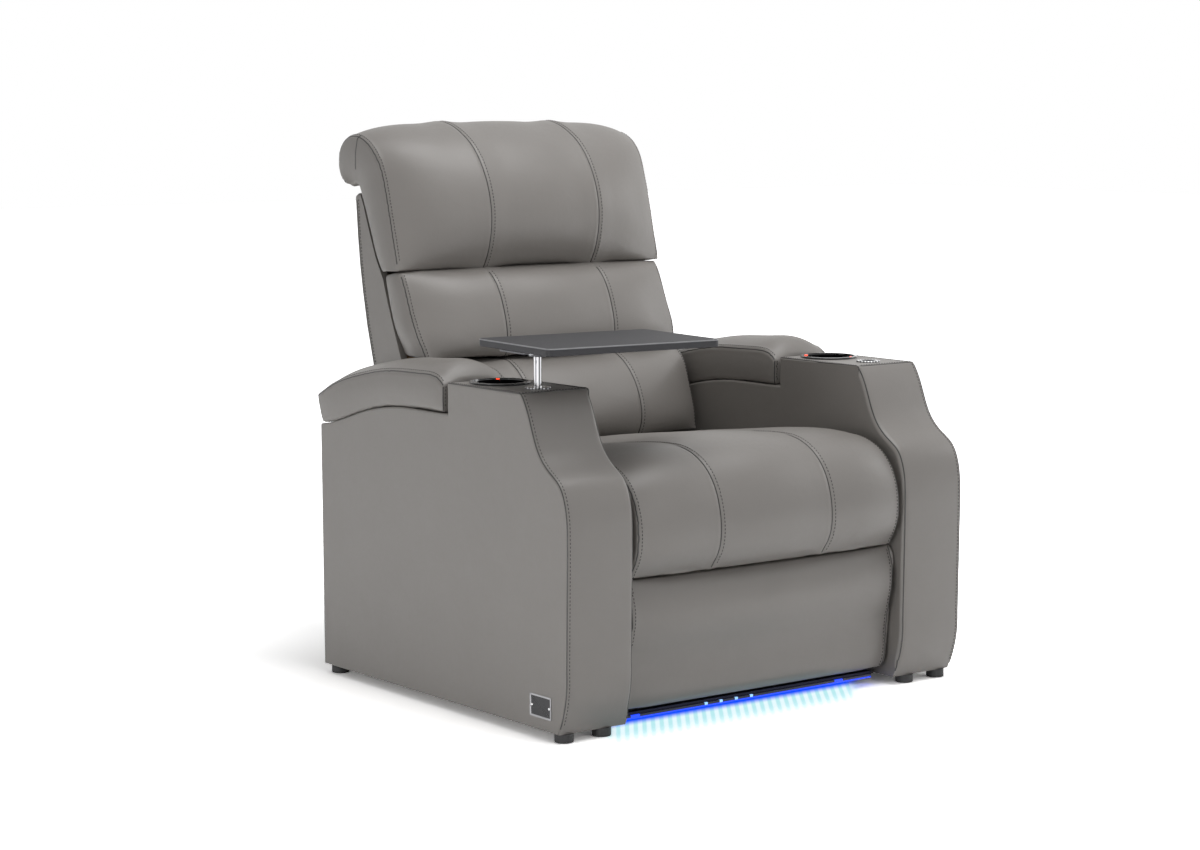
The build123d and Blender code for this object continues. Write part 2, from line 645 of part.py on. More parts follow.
BRACKET_END = (680.0, 453.0)           # where the hinge bracket is screwed to the side board
BRACKET_W = 40.0


def back_hinge():
    """Steel torsion tube with its two brackets and the recline lever."""
    x0, x1 = HINGE_X
    bracket = bar(RECLINE, BRACKET_END, BRACKET_W, x0, x1) - rod_x(
        RECLINE, RECLINE_PIN_R + RUN, x0 - 1, x1 + 1)
    pair = both(bracket)
    tube = rod_x(RECLINE, 15, -x0, x0) - rod_x(RECLINE, 11, -x0 - 1, x0 + 1)
    lever = bar(RECLINE, RECLINE_PIN, 24, LEVER_X - 3, LEVER_X + 3)
    lever -= rod_x(RECLINE, 12, LEVER_X - 4, LEVER_X + 4)
    lever += rod_x(RECLINE_PIN, DRIVE_PIN_R, LEVER_X - 10, LEVER_X + 3)
    return pair[0] + pair[1] + tube + lever


def back_shell():
    rear = Spline(*SHELL_REAR)
    front = Spline(*[(y - SHELL_T, z) for y, z in SHELL_REAR])
    top = Line(front @ 1, rear @ 1)
    foot = Line(rear @ 0, front @ 0)
    shell = extrude(Plane.YZ.offset(-BACK_HALF) * make_face([rear, top, front, foot]), 2 * BACK_HALF)
    return shell


def back_webbing():
    straps = []
    for y, z in [(670.5, 505), (702.3, 573), (735.8, 648), (760.8, 708)]:
        straps.append(prism([(y - 10, z - 24), (y + 10, z + 24), (y + 12, z + 24), (y - 8, z - 24)],
                            -BOARD_X[0], BOARD_X[0]))
    return group(*straps)


HEAD_ARM_X = (150.0, 157.0)
HEAD_PLATE_HALF = BACK_HALF - 73
SLOT_X = (HEAD_ARM_X[0] - 4, HEAD_ARM_X[1] + 10)   # room in the cushion for arm and ear


def headrest_arms():
    """Fixed hinge arms on the top rail of the back."""
    x0, x1 = HEAD_ARM_X
    arm = block(x0, x1, HEAD_HINGE[0], 820, 777, 793) + block(x0, x1, 804, 820, 757, 793)
    arm += rod_x(HEAD_HINGE, 8, x0, x1)
    arm -= rod_x(HEAD_HINGE, HEAD_PIN_R + RUN, x0 - 1, x1 + 1)
    return group(*both(arm))


HEAD_PIN = shift(HEAD_HINGE, HEAD_LEVER)


def along_head(t):
    return HEAD_PIN[0] - HEAD_AXIS[0] * t, HEAD_PIN[1] - HEAD_AXIS[1] * t


def head_cylinder(x, r, t0, t1):
    a, b = along_head(t0), along_head(t1)
    mid = ((a[0] + b[0]) / 2, (a[1] + b[1]) / 2)
    plane = Plane(origin=(x, mid[0], mid[1]), x_dir=(1, 0, 0), z_dir=(0, *HEAD_AXIS))
    return plane * Cylinder(r, abs(t1 - t0))


def headrest_drive():
    housing = head_cylinder(9, 16, 70, 220) - head_cylinder(9, 5 + RUN, 69, 200)
    foot = block(-5, 23, 742, 768, 598, 612)
    return housing + (foot - head_cylinder(9, 12, 60, 230))


def headrest_rod():
    plane = Plane(origin=(9, *HEAD_PIN), x_dir=(1, 0, 0), z_dir=(0, *HEAD_AXIS))
    plate = plane * Box(4, 25, 22) - plane * Box(5, 2 * (4 + 3.4), 2 * (4 + 0.7))
    return plate + head_cylinder(9, 5, 10, 165)


def headrest_frame():
    """Steel plate behind the headrest with its hinge ears, pins and drive lug."""
    plate = prism([(779.4, 778), (796.3, 799), (815.3, 838), (833.3, 880), (845.4, 906),
                   (849, 905), (837, 878), (819, 836), (800, 796), (783, 776)],
                  -HEAD_PLATE_HALF, HEAD_PLATE_HALF)
    x0, x1 = HEAD_ARM_X
    slot = block(x0 - 2, x1 + 0.6, 700, 830, 750, 802)
    plate -= slot
    plate -= mirror(slot, Plane.YZ)
    ear = bar(HEAD_HINGE, (790, 790), 16, x1 + 1, x1 + 6)
    ear += rod_x(HEAD_HINGE, HEAD_PIN_R, x0 - 2, x1 + 6)
    pair = both(ear)
    lug = prism([(781, 779), (797, 798), (800, 790), (797, 757), (790, 753), (783, 757)], -5, 5)
    lug += rod_x(HEAD_PIN, 4, -5, 13)
    return plate + pair[0] + pair[1] + lug


def headrest_cushion():
    cushion = channel_cushion(HEAD, BACK_HALF, 12.0, 6.0)
    slot = block(*SLOT_X, 712, 830, 750, 803)
    cushion -= slot
    return cushion - mirror(slot, Plane.YZ) - block(-9, 16, 772, 830, 750, 790)


# ---------------------------------------------------------------- tray
def on_tray(shape):
    return Pos(-ARM_X, POST_Y, 0) * Rot(0, 0, TRAY_TURN) * shape


BUTTON_DIR = (-0.6, -0.8)
BUTTON_Z = TRAY_Z - 21


def post_button_rod(r, a, b):
    mid = (a + b) / 2
    plane = Plane(origin=(-ARM_X + BUTTON_DIR[0] * mid, POST_Y + BUTTON_DIR[1] * mid, BUTTON_Z),
                  z_dir=(*BUTTON_DIR, 0))
    return plane * Cylinder(r, b - a)


def tray_post():
    x, y = -ARM_X, POST_Y
    foot = post_z(x, y, SOCKET_R, DECK_Z - SOCKET_DEPTH, DECK_Z + 3)
    stem = post_z(x, y, POST_R, DECK_Z + 3, POST_TOP)
    spindle = post_z(x, y, 5, POST_TOP, TRAY_Z - 1)
    return foot + stem + spindle - post_button_rod(3 + RUN, 0, 9)


def post_button():
    return post_button_rod(3, 3.0, 8.2)


TRAY_SCREWS = [(-34, -34), (34, -34), (-34, 34), (34, 34)]


def tray_bracket():
    plate = on_tray(Pos(0, 0, TRAY_Z - 1.5) * Box(108, 88, 3))
    plate = fillet(plate.edges().filter_by(Axis.Z), 8)
    hub = post_z(-ARM_X, POST_Y, 15, POST_TOP + 0.2, TRAY_Z - 3)
    body = plate + hub - post_z(-ARM_X, POST_Y, 5 + RUN, POST_TOP - 2, TRAY_Z + 1)
    for x, y in TRAY_SCREWS:
        body -= on_tray(post_z(x, y, 2 + LOOSE, TRAY_Z - 4, TRAY_Z + 1))
    return body


def tray_screws():
    screws = []
    for x, y in TRAY_SCREWS:
        screws.append(on_tray(post_z(x, y, 4, TRAY_Z - 5, TRAY_Z - 3)
                              + post_z(x, y, 2, TRAY_Z - 3, TRAY_Z + 8)))
    return group(*screws)


def tray_board():
    cx = TRAY_W / 2 - TRAY_EDGE[0]
    cy = TRAY_D / 2 - TRAY_EDGE[1]
    board = Pos(cx, cy, TRAY_Z + TRAY_T / 2) * Box(TRAY_W, TRAY_D, TRAY_T)
    board = fillet(board.edges().filter_by(Axis.Z), 12)
    board = fillet(board.edges().group_by(Axis.Z)[-1], 2.5)
    board = fillet(board.edges().group_by(Axis.Z)[0], 2.5)
    for x, y in TRAY_SCREWS:
        board -= post_z(x, y, 2 + LOOSE, TRAY_Z - 1, TRAY_Z + 8.5)
    return on_tray(board)


# ---------------------------------------------------------------- write
def save_pair(name, shape):
    right, left = both(shape)
    save(name + "_right", right)
    save(name + "_left", left)


def main():
    save_pair("arm_cover", arm_cover())
    save_pair("arm_frame", arm_frame())
    save_pair("storage_bin", storage_bin())
    save_pair("cup_liner", cup_liner())
    save_pair("cup_ring", cup_ring())
    save_pair("grommet", grommet())
    save_pair("lid_pad", lid_pad())
    save_pair("lid_board", lid_board())
    save_pair("lid_leaf", lid_hinge_leaf())
    save("lid_hinge_pins", group(*both(lid_hinge_fixed())))
    front, rear = [cup_button(x, y) for x, y in button_places()]
    save_pair("cup_button_front", front)
    save_pair("cup_button_rear", rear)
    save("base_frame", base_frame())
    save("arm_bolts", arm_bolts())
    save("feet", feet())
    save("seat_frame", seat_frame())
    save("seat_webbing", seat_webbing())
    save("seat_cushion", seat_cushion())
    save("led_channel", led_channel())
    save("led_strip", led_strip())
    save("nameplate", nameplate())
    save("control_box", control_box())
    save("footrest_drive", footrest_drive())
    save("footrest_drive_rod", footrest_rod())
    save("recline_drive", recline_drive())
    save("recline_drive_rod", recline_rod())
    save("footrest_arms", footrest_arms())
    save("footrest_links", footrest_links())
    save("footrest_carrier", footrest_carrier())
    save("footrest_tilt_strut", tilt_strut())
    save("footrest_board", footrest_board())
    save("footrest_brackets", footrest_brackets())
    save("footrest_pad", footrest_pad())
    save("back_frame", back_frame())
    save("back_hinge", back_hinge())
    save("back_shell", back_shell())
    save("back_webbing", back_webbing())
    save("lumbar_cushion", channel_cushion(LUMBAR, BACK_HALF, 11.0))
    save("midback_cushion", channel_cushion(MIDBACK, BACK_HALF, 11.0))
    save("headrest_arms", headrest_arms())
    save("headrest_drive", headrest_drive())
    save("headrest_drive_rod", headrest_rod())
    save("headrest_frame", headrest_frame())
    save("headrest_cushion", headrest_cushion())
    save("tray_post", tray_post())
    save("tray_post_button", post_button())
    save("tray_bracket", tray_bracket())
    save("tray_screws", tray_screws())
    save("tray_board", tray_board())


if __name__ == "__main__":
    main()
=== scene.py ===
import math
import random
import bmesh
import bpy
import numpy as np
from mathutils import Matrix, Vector
from mathutils.bvhtree import BVHTree
from mathutils.kdtree import KDTree


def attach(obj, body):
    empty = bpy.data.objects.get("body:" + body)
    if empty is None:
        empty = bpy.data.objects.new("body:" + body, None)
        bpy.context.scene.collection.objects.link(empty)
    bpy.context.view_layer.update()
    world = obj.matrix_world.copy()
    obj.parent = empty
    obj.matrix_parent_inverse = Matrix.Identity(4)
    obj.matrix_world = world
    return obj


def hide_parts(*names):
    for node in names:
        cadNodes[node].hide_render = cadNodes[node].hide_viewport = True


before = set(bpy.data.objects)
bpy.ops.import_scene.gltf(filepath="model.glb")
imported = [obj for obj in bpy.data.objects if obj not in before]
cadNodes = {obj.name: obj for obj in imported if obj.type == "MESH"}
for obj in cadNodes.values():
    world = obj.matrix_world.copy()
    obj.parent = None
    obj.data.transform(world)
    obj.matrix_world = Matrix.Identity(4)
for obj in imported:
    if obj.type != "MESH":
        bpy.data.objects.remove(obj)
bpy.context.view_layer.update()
random.seed(11)  # the same result each run
print("frame loaded with", len(cadNodes), "nodes")

seamStep = 0.004  # spacing of the points along a sewn line
sameSpot = 0.0005  # two places nearer than this count as one
midY = 0.4501  # profiles count y from the front of the arms, the scene counts it from the middle


# helpers for selecting, copying and finishing pieces
def toMode(mode):
    bpy.ops.object.mode_set(mode=mode)


def deselectAll():
    if bpy.context.object and bpy.context.object.mode != "OBJECT":
        toMode("OBJECT")
    bpy.ops.object.select_all(action="DESELECT")


def makeActive(piece):
    deselectAll()
    piece.select_set(True)
    bpy.context.view_layer.objects.active = piece


def applyModifier(piece, kind, **values):
    makeActive(piece)
    modifier = piece.modifiers.new(kind.lower(), kind)
    for key, value in values.items():
        setattr(modifier, key, value)
    bpy.ops.object.modifier_apply(modifier=modifier.name)


def selectAll(choice="SELECT"):
    bpy.ops.mesh.select_all(action=choice)


def selectParts(piece, kind, test):
    # selects the edges or faces that pass a test, and stays in edit mode
    mesh = piece.data
    makeActive(piece)
    toMode("EDIT")
    bpy.ops.mesh.select_mode(type=kind)
    selectAll("DESELECT")
    toMode("OBJECT")
    for part in (mesh.edges if kind == "EDGE" else mesh.polygons):
        part.select = bool(test(part, [mesh.vertices[i].co for i in part.vertices]))
    toMode("EDIT")


def selectEdges(piece, test):
    selectParts(piece, "EDGE", lambda edge, ends: test(*ends))


def selectFaces(piece, test):
    selectParts(piece, "FACE", test)


def drawOut(*way):
    bpy.ops.mesh.extrude_region_move(TRANSFORM_OT_translate={"value": way})


def newPiece(pieceName, data):
    piece = bpy.data.objects.new(pieceName, data)
    bpy.context.scene.collection.objects.link(piece)
    makeActive(piece)
    return piece


def mergedCopy(nodeName, pieceName):
    piece = newPiece(pieceName, cadNodes[nodeName].data.copy())
    piece.data.name = pieceName
    piece.data.materials.clear()
    toMode("EDIT")
    selectAll()
    bpy.ops.mesh.remove_doubles(threshold=0.00002)
    toMode("OBJECT")
    return piece


def vectors(items, key):
    values = np.empty(len(items) * 3, np.float32)
    items.foreach_get(key, values)
    return values.reshape(-1, 3).astype(float)


def points(piece):
    return vectors(piece.data.vertices, "co")


def setPoints(piece, co):
    piece.data.vertices.foreach_set("co", np.asarray(co, np.float32).ravel())
    piece.data.update()


def pointNormals(piece):
    return vectors(piece.data.vertex_normals, "vector")


def finishPiece(piece, body, material, smoothAngle=None):
    if material:
        piece.data.materials.clear()
        piece.data.materials.append(material)
    makeActive(piece)
    if smoothAngle is None:
        bpy.ops.object.shade_smooth()
    else:
        bpy.ops.object.shade_smooth_by_angle(angle=math.radians(smoothAngle))
    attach(piece, body)


# materials
def startMaterial(name, color, roughness, **sockets):
    material = bpy.data.materials.new(name)
    material.use_nodes = True
    shader = material.node_tree.nodes["Principled BSDF"]
    shader.inputs["Base Color"].default_value = (*color, 1)
    shader.inputs["Roughness"].default_value = roughness
    for socket, value in sockets.items():
        shader.inputs[socket.replace("_", " ")].default_value = value
    return material, material.node_tree


def newNode(graph, kind, **values):
    # each value goes to the socket of that name, or else to the node's own setting
    node = graph.nodes.new(kind)
    for key, value in values.items():
        socket = key.replace("_", " ")
        if socket in node.inputs:
            node.inputs[socket].default_value = value
        else:
            setattr(node, key, value)
    return node


def objectPattern(graph, kind, scale, stretch=(1, 1, 1), **values):
    place = graph.nodes.new("ShaderNodeTexCoord")
    mapping = newNode(graph, "ShaderNodeMapping", Scale=stretch)
    pattern = newNode(graph, kind, Scale=scale, **values)
    graph.links.new(place.outputs["Object"], mapping.inputs["Vector"])
    graph.links.new(mapping.outputs["Vector"], pattern.inputs["Vector"])
    return pattern.outputs.get("Fac") or pattern.outputs["Distance"]


def mixNode(graph, factor, first, second):
    mix = newNode(graph, "ShaderNodeMix", data_type="RGBA")
    graph.links.new(factor, mix.inputs["Factor"])
    for name, color in (("A", first), ("B", second)):
        if isinstance(color, tuple):
            mix.inputs[name].default_value = (*color, 1)
        else:
            graph.links.new(color, mix.inputs[name])
    return mix.outputs["Result"]


def feed(graph, socket, value):
    # leads a value into a socket of the material's shader
    graph.links.new(value, graph.nodes["Principled BSDF"].inputs[socket])


def mixedColor(graph, factor, first, second):
    feed(graph, "Base Color", mixNode(graph, factor, first, second))


def variedRoughness(graph, factor, low, high):
    spread = newNode(graph, "ShaderNodeMapRange", To_Min=low, To_Max=high)
    graph.links.new(factor, spread.inputs["Value"])
    feed(graph, "Roughness", spread.outputs["Result"])


def addBump(graph, height, strength, distance):
    bump = newNode(graph, "ShaderNodeBump", Strength=strength, Distance=distance)
    graph.links.new(height, bump.inputs["Height"])
    before = graph.nodes["Principled BSDF"].inputs["Normal"]
    if before.is_linked:
        graph.links.new(before.links[0].from_socket, bump.inputs["Normal"])
    feed(graph, "Normal", bump.outputs["Normal"])


def numberTools(graph):
    # sums and smooth ramps from which the masks of a material are made
    def calculate(operation, first, second=None):
        node = newNode(graph, "ShaderNodeMath", operation=operation)
        for socket, value in zip(node.inputs, (first, second)):
            if isinstance(value, (int, float)):
                socket.default_value = value
            elif value is not None:
                graph.links.new(value, socket)
        return node.outputs["Value"]

    def ramp(value, low, high):
        node = newNode(graph, "ShaderNodeMapRange", interpolation_type="SMOOTHSTEP",
                       From_Min=low, From_Max=high)
        graph.links.new(value, node.inputs["Value"])
        return node.outputs["Result"]

    def mixed(factor, first, second):
        return mixNode(graph, factor, first, second)

    place = graph.nodes.new("ShaderNodeTexCoord")
    axes = graph.nodes.new("ShaderNodeSeparateXYZ")
    graph.links.new(place.outputs["Object"], axes.inputs["Vector"])
    return calculate, ramp, mixed, [axes.outputs[letter] for letter in "XYZ"]


# the grey leather; pebble, crease and sag are the scales of its grain, its creases and its slack
leather = {"light": (0.232, 0.217, 0.203), "dark": (0.205, 0.191, 0.178), "roughness": (0.40, 0.54),
           "pebble": 760.0, "crease": 95.0, "sag": 14.0}


def leatherMaterial(name, light, dark):
    material, graph = startMaterial(name, light, 0.48, Specular_IOR_Level=0.66)
    tone = objectPattern(graph, "ShaderNodeTexNoise", 7.0, Detail=5.0, Roughness=0.6)
    mixedColor(graph, tone, dark, light)
    mottle = objectPattern(graph, "ShaderNodeTexNoise", 160.0, Detail=3.0)
    variedRoughness(graph, mottle, *leather["roughness"])
    sag = objectPattern(graph, "ShaderNodeTexNoise", leather["sag"], Detail=2.0, Distortion=0.6)
    addBump(graph, sag, 0.22, 0.004)
    crease = objectPattern(graph, "ShaderNodeTexNoise", leather["crease"], Detail=4.0, Distortion=1.2)
    addBump(graph, crease, 0.16, 0.0008)
    pebble = objectPattern(graph, "ShaderNodeTexVoronoi", leather["pebble"], feature="SMOOTH_F1")
    addBump(graph, pebble, 0.28, 0.00035)
    return material


def plainMaterial(name, color, roughness, metallic=0.0, grain=240.0, bump=0.08, **sockets):
    material, graph = startMaterial(name, color, roughness, Metallic=metallic, **sockets)
    speckle = objectPattern(graph, "ShaderNodeTexNoise", grain, Detail=4.0)
    variedRoughness(graph, speckle, roughness * 0.8, min(1.0, roughness * 1.25))
    addBump(graph, speckle, bump, 0.0006)
    return material


def brushedMaterial(name, color, roughness, stretch):
    material, graph = startMaterial(name, color, roughness, Metallic=1.0)
    lines = objectPattern(graph, "ShaderNodeTexNoise", 90.0, stretch, Detail=6.0)
    variedRoughness(graph, lines, roughness * 0.7, roughness * 1.5)
    addBump(graph, lines, 0.12, 0.0003)
    return material


def chromeWithPaintedReflections(name, light, dark):
    # bright metal with dark upright streaks painted into its colour: painted reflections of the dark studio
    # surroundings that a post mirrors
    material, graph = startMaterial(name, light, 0.12, Metallic=1.0)
    calculate, ramp, mixed, (x, y, _) = numberTools(graph)
    along = calculate("SUBTRACT", x, calculate("MULTIPLY", y, 0.76))
    wave = calculate("SINE", calculate("MULTIPLY", along, 860.0))
    # painted reflection: dark upright bands mixed into the base colour
    feed(graph, "Base Color", mixed(ramp(wave, -0.9, 0.7), dark, light))
    scratch = objectPattern(graph, "ShaderNodeTexNoise", 900.0, (1, 1, 0.1))
    variedRoughness(graph, scratch, 0.08, 0.2)
    return material


def plyMaterial(name):
    light, dark = (0.60, 0.42, 0.24), (0.40, 0.25, 0.12)
    material, graph = startMaterial(name, light, 0.6)
    rings = objectPattern(graph, "ShaderNodeTexWave", 26.0, (1, 0.25, 1), Distortion=5.0, Detail=3.0)
    mixedColor(graph, rings, light, dark)
    addBump(graph, rings, 0.1, 0.0005)
    return material


def wovenMaterial(name, color, lighter, scale):
    material, graph = startMaterial(name, color, 0.85, Sheen_Weight=0.2)
    across = objectPattern(graph, "ShaderNodeTexWave", scale, bands_direction="X")
    along = objectPattern(graph, "ShaderNodeTexWave", scale, bands_direction="Y")
    weave = newNode(graph, "ShaderNodeMath", operation="MULTIPLY")
    graph.links.new(across, weave.inputs[0])
    graph.links.new(along, weave.inputs[1])
    mixedColor(graph, weave.outputs["Value"], color, lighter)
    addBump(graph, weave.outputs["Value"], 0.5, 0.0006)
    return material


def glowMaterial(name, color, strength):
    material, graph = startMaterial(name, color, 0.35, Emission_Color=(*color, 1),
                                    Emission_Strength=strength)
    ripple = objectPattern(graph, "ShaderNodeTexNoise", 300.0)
    addBump(graph, ripple, 0.05, 0.0002)
    return material


# the light strip: places along X of its diodes and of its longer blocks, and their half lengths
tape = {"lineTop": 0.0148, "dashes": (-0.106, -0.071, -0.035, 0.001), "dashHalf": 0.0030,
        "blocks": (-0.268, 0.215), "blockHalf": 0.0095, "dark": (0.010, 0.008, 0.045),
        "blue": (0.0, 0.05, 1.0), "pale": (0.30, 0.60, 1.0), "strength": 1.3}


def tapeMaterial(name):
    # a dark tape with a glowing lower edge, a few lit diodes and a lit block near each end
    material, graph = startMaterial(name, tape["dark"], 0.35)
    calculate, ramp, mixed, (x, _, z) = numberTools(graph)

    def around(centres, half):
        found = 0.0
        for centre in centres:
            away = calculate("ABSOLUTE", calculate("SUBTRACT", x, centre))
            found = calculate("MAXIMUM", ramp(away, half + 0.0012, half), found)
        return found

    dashes = around(tape["dashes"], tape["dashHalf"])
    line = ramp(z, tape["lineTop"] + 0.0006, tape["lineTop"] - 0.0006)
    lit = calculate("MAXIMUM", dashes, around(tape["blocks"], tape["blockHalf"]))
    lit = calculate("MAXIMUM", lit, line)
    glow = mixed(calculate("SUBTRACT", dashes, line), tape["blue"], tape["pale"])
    feed(graph, "Emission Color", glow)
    feed(graph, "Emission Strength", calculate("MULTIPLY", lit, tape["strength"]))
    return material


# height and colour of the painted highlight along the tray's upper edge
trayEdgeHighlight = {"low": 0.6750, "high": 0.6778, "color": (0.30, 0.30, 0.31)}


def trayMaterial(name, color):
    # a dark laminate with a painted highlight: a paler band along its rounded upper edge
    material, graph = startMaterial(name, color, 0.6, Specular_IOR_Level=0.35)
    speckle = objectPattern(graph, "ShaderNodeTexNoise", 1500.0, Detail=4.0)
    variedRoughness(graph, speckle, 0.52, 0.68)
    addBump(graph, speckle, 0.2, 0.0005)
    calculate, ramp, mixed, (_, _, z) = numberTools(graph)
    # painted highlight: the paler band mixed into the base colour
    highlightBand = calculate("MULTIPLY", ramp(z, trayEdgeHighlight["low"], trayEdgeHighlight["low"] + 0.0006),
                     ramp(z, trayEdgeHighlight["high"], trayEdgeHighlight["high"] - 0.0005))
    feed(graph, "Base Color", mixed(highlightBand, color, trayEdgeHighlight["color"]))
    return material


finish = {
    "leather": leatherMaterial("greyLeather", leather["light"], leather["dark"]),
    # near-black leather for the seam tubes: painted shade of the seam creases
    "seam": leatherMaterial("seamFold", (0.022, 0.020, 0.018), (0.014, 0.013, 0.012)),
    "thread": plainMaterial("threadGrey", (0.030, 0.027, 0.025), 0.6, grain=2500.0, bump=0.4),
    "ply": plyMaterial("birchPly"),
    "powder": plainMaterial("blackPowderCoat", (0.018, 0.018, 0.02), 0.5, grain=900.0, bump=0.2),
    "zinc": brushedMaterial("brightZinc", (0.40, 0.41, 0.43), 0.34, (1, 8, 1)),
    "chrome": chromeWithPaintedReflections("chromePaintedReflections", (0.60, 0.60, 0.61), (0.07, 0.07, 0.075)),
    "plastic": plainMaterial("mattBlackPlastic", (0.02, 0.02, 0.022), 0.55, grain=1100.0, bump=0.25),
    "gloss": plainMaterial("glossBlack", (0.008, 0.008, 0.009), 0.08, grain=60.0, bump=0.01,
                           Coat_Weight=0.6),
    "redMark": glowMaterial("litRedMark", (1.0, 0.06, 0.02), 2.2),
    "foot": plainMaterial("footBlack", (0.022, 0.022, 0.023), 0.6, grain=700.0, bump=0.3),
    "webbing": wovenMaterial("elasticWebbing", (0.03, 0.03, 0.032), (0.12, 0.12, 0.12), 420.0),
    "channel": brushedMaterial("blackChannel", (0.02, 0.02, 0.035), 0.45, (0.1, 8, 8)),
    "ledBlue": tapeMaterial("blueTape"),
    "plate": brushedMaterial("plateNickel", (0.30, 0.30, 0.31), 0.34, (1, 0.12, 9)),
    "trayMetal": plainMaterial("trayGreyMetal", (0.075, 0.075, 0.085), 0.42, grain=800.0, bump=0.15),
    "slate": trayMaterial("slateTray", (0.022, 0.022, 0.025)),
    "plateField": plainMaterial("plateField", (0.045, 0.045, 0.047), 0.45, metallic=0.8, grain=700.0,
                                bump=0.6),
    "rivet": plainMaterial("rivetNickel", (0.75, 0.75, 0.75), 0.2, metallic=1.0),
}


def bothSides(*names):
    return [name + side for name in names for side in ("_left", "_right")]


nodeFinish = {
    "ply": bothSides("arm_frame") + ["back_frame", "footrest_board"],
    "leather": bothSides("lid_board"),
    "powder": ["base_frame", "seat_frame", "back_hinge", "headrest_arms", "headrest_frame", "footrest_arms",
               "footrest_links", "footrest_carrier", "footrest_tilt_strut", "footrest_brackets"],
    "zinc": bothSides("lid_leaf") + ["arm_bolts", "lid_hinge_pins", "footrest_drive_rod",
                                     "recline_drive_rod", "headrest_drive_rod", "tray_screws"],
    "chrome": bothSides("grommet") + ["tray_post", "tray_post_button"],
    "plastic": bothSides("storage_bin") + ["control_box", "footrest_drive", "recline_drive",
                                           "headrest_drive"],
    "gloss": bothSides("cup_liner", "cup_ring"),
    "redMark": bothSides("cup_button_front", "cup_button_rear"),
    "foot": ["feet"], "webbing": ["seat_webbing", "back_webbing"], "channel": ["led_channel"],
    "ledBlue": ["led_strip"], "plate": ["nameplate"], "trayMetal": ["tray_bracket"], "slate": ["tray_board"],
}
for key, names in nodeFinish.items():
    for name in names:
        cadNodes[name].data.materials.clear()
        cadNodes[name].data.materials.append(finish[key])
print("materials made:", len(finish))


# seams: the sharp lines of a CAD cushion, where its panels are sewn together
def sharpLines(piece, angle):
    mesh = bmesh.new()
    mesh.from_mesh(piece.data)
    links = {}
    for edge in mesh.edges:
        if len(edge.link_faces) == 2 and edge.calc_face_angle(0) > math.radians(angle):
            a, b = edge.verts
            links.setdefault(a.index, []).append(b.index)
            links.setdefault(b.index, []).append(a.index)
    places = {vertex.index: vertex.co.copy() for vertex in mesh.verts}
    mesh.free()
    used, lines = set(), []
    starts = [i for i, near in links.items() if len(near) != 2] + list(links)
    for start in starts:
        for first in links[start]:
            if frozenset((start, first)) in used:
                continue
            chain = [start, first]
            used.add(frozenset((start, first)))
            while len(links[chain[-1]]) == 2:
                near = [i for i in links[chain[-1]] if frozenset((chain[-1], i)) not in used]
                if not near:
                    break
                used.add(frozenset((chain[-1], near[0])))
                chain.append(near[0])
            lines.append([places[i] for i in chain])
    return lines


def resampled(line, step=seamStep):
    line = [Vector(p) for p in line]
    out, carried = [line[0].copy()], 0.0
    for a, b in zip(line, line[1:]):
        length = (b - a).length
        at = step - carried
        while at <= length:
            out.append(a.lerp(b, at / length))
            at += step
        carried = (carried + length) % step if length else carried
    return out


def lineTree(lines, step=0.002):
    spots = [p for line in lines for p in resampled(line, step)]
    tree = KDTree(len(spots))
    for i, p in enumerate(spots):
        tree.insert(p, i)
    tree.balance()
    return tree


def distances(tree, co):
    return np.array([tree.find(p)[2] for p in co])


# sewing: a sunk dark tube along each fold line, painted shade for the crease of the seam, and a row of
# stitches laid on a finished surface
sewing = {"shadeTubeRadius": 0.0013, "sink": 0.0003, "pitch": 0.0066, "length": 0.0046, "thick": 0.00085,
          "lift": 0.0001, "aside": 0.0068}


def surfaceTree(piece):
    mesh = bmesh.new()
    mesh.from_mesh(piece.data)
    tree = BVHTree.FromBMesh(mesh)
    mesh.free()
    return tree


def snapped(tree, line, lift=0.0):
    spots = []
    for p in line:
        place, normal, _, _ = tree.find_nearest(Vector(p))
        spots.append((place + normal * lift, normal))
    return spots


def seamShadeTubes(pieceName, tree, lines, body):
    # a thin dark tube half sunk along each sewn line, painted shade standing in for the shadow in the seam's
    # crease
    curve = bpy.data.curves.new(pieceName, "CURVE")
    curve.dimensions = "3D"
    curve.bevel_depth = sewing["shadeTubeRadius"]
    curve.bevel_resolution = 1
    for line in lines:
        spots = [place for place, _ in snapped(tree, line, -sewing["sink"])]
        if len(spots) < 2:
            continue
        spline = curve.splines.new("POLY")
        spline.points.add(len(spots) - 1)
        for point, place in zip(spline.points, spots):
            point.co = (*place, 1)
    newPiece(pieceName, curve)
    bpy.ops.object.convert(target="MESH")
    finishPiece(bpy.context.object, body, finish["seam"])


def oneStitch():
    # a short thread with tapered ends, lying along X
    deselectAll()
    bpy.ops.mesh.primitive_cylinder_add(vertices=5, radius=sewing["thick"], depth=sewing["length"] * 0.6,
                                        rotation=(0, math.pi / 2, 0))
    stitch = bpy.context.object
    bpy.ops.object.transform_apply()
    for end in (-1, 1):
        selectFaces(stitch, lambda polygon, corners: len(corners) == 5 and polygon.normal.x * end > 0.9)
        drawOut(end * sewing["length"] * 0.2, 0, -sewing["thick"] * 0.7)
        bpy.ops.transform.resize(value=(0.4, 0.4, 0.4))
    toMode("OBJECT")
    shape = points(stitch), [tuple(polygon.vertices) for polygon in stitch.data.polygons]
    bpy.data.objects.remove(stitch, do_unlink=True)
    return shape


stitchPoints, stitchFaces = oneStitch()


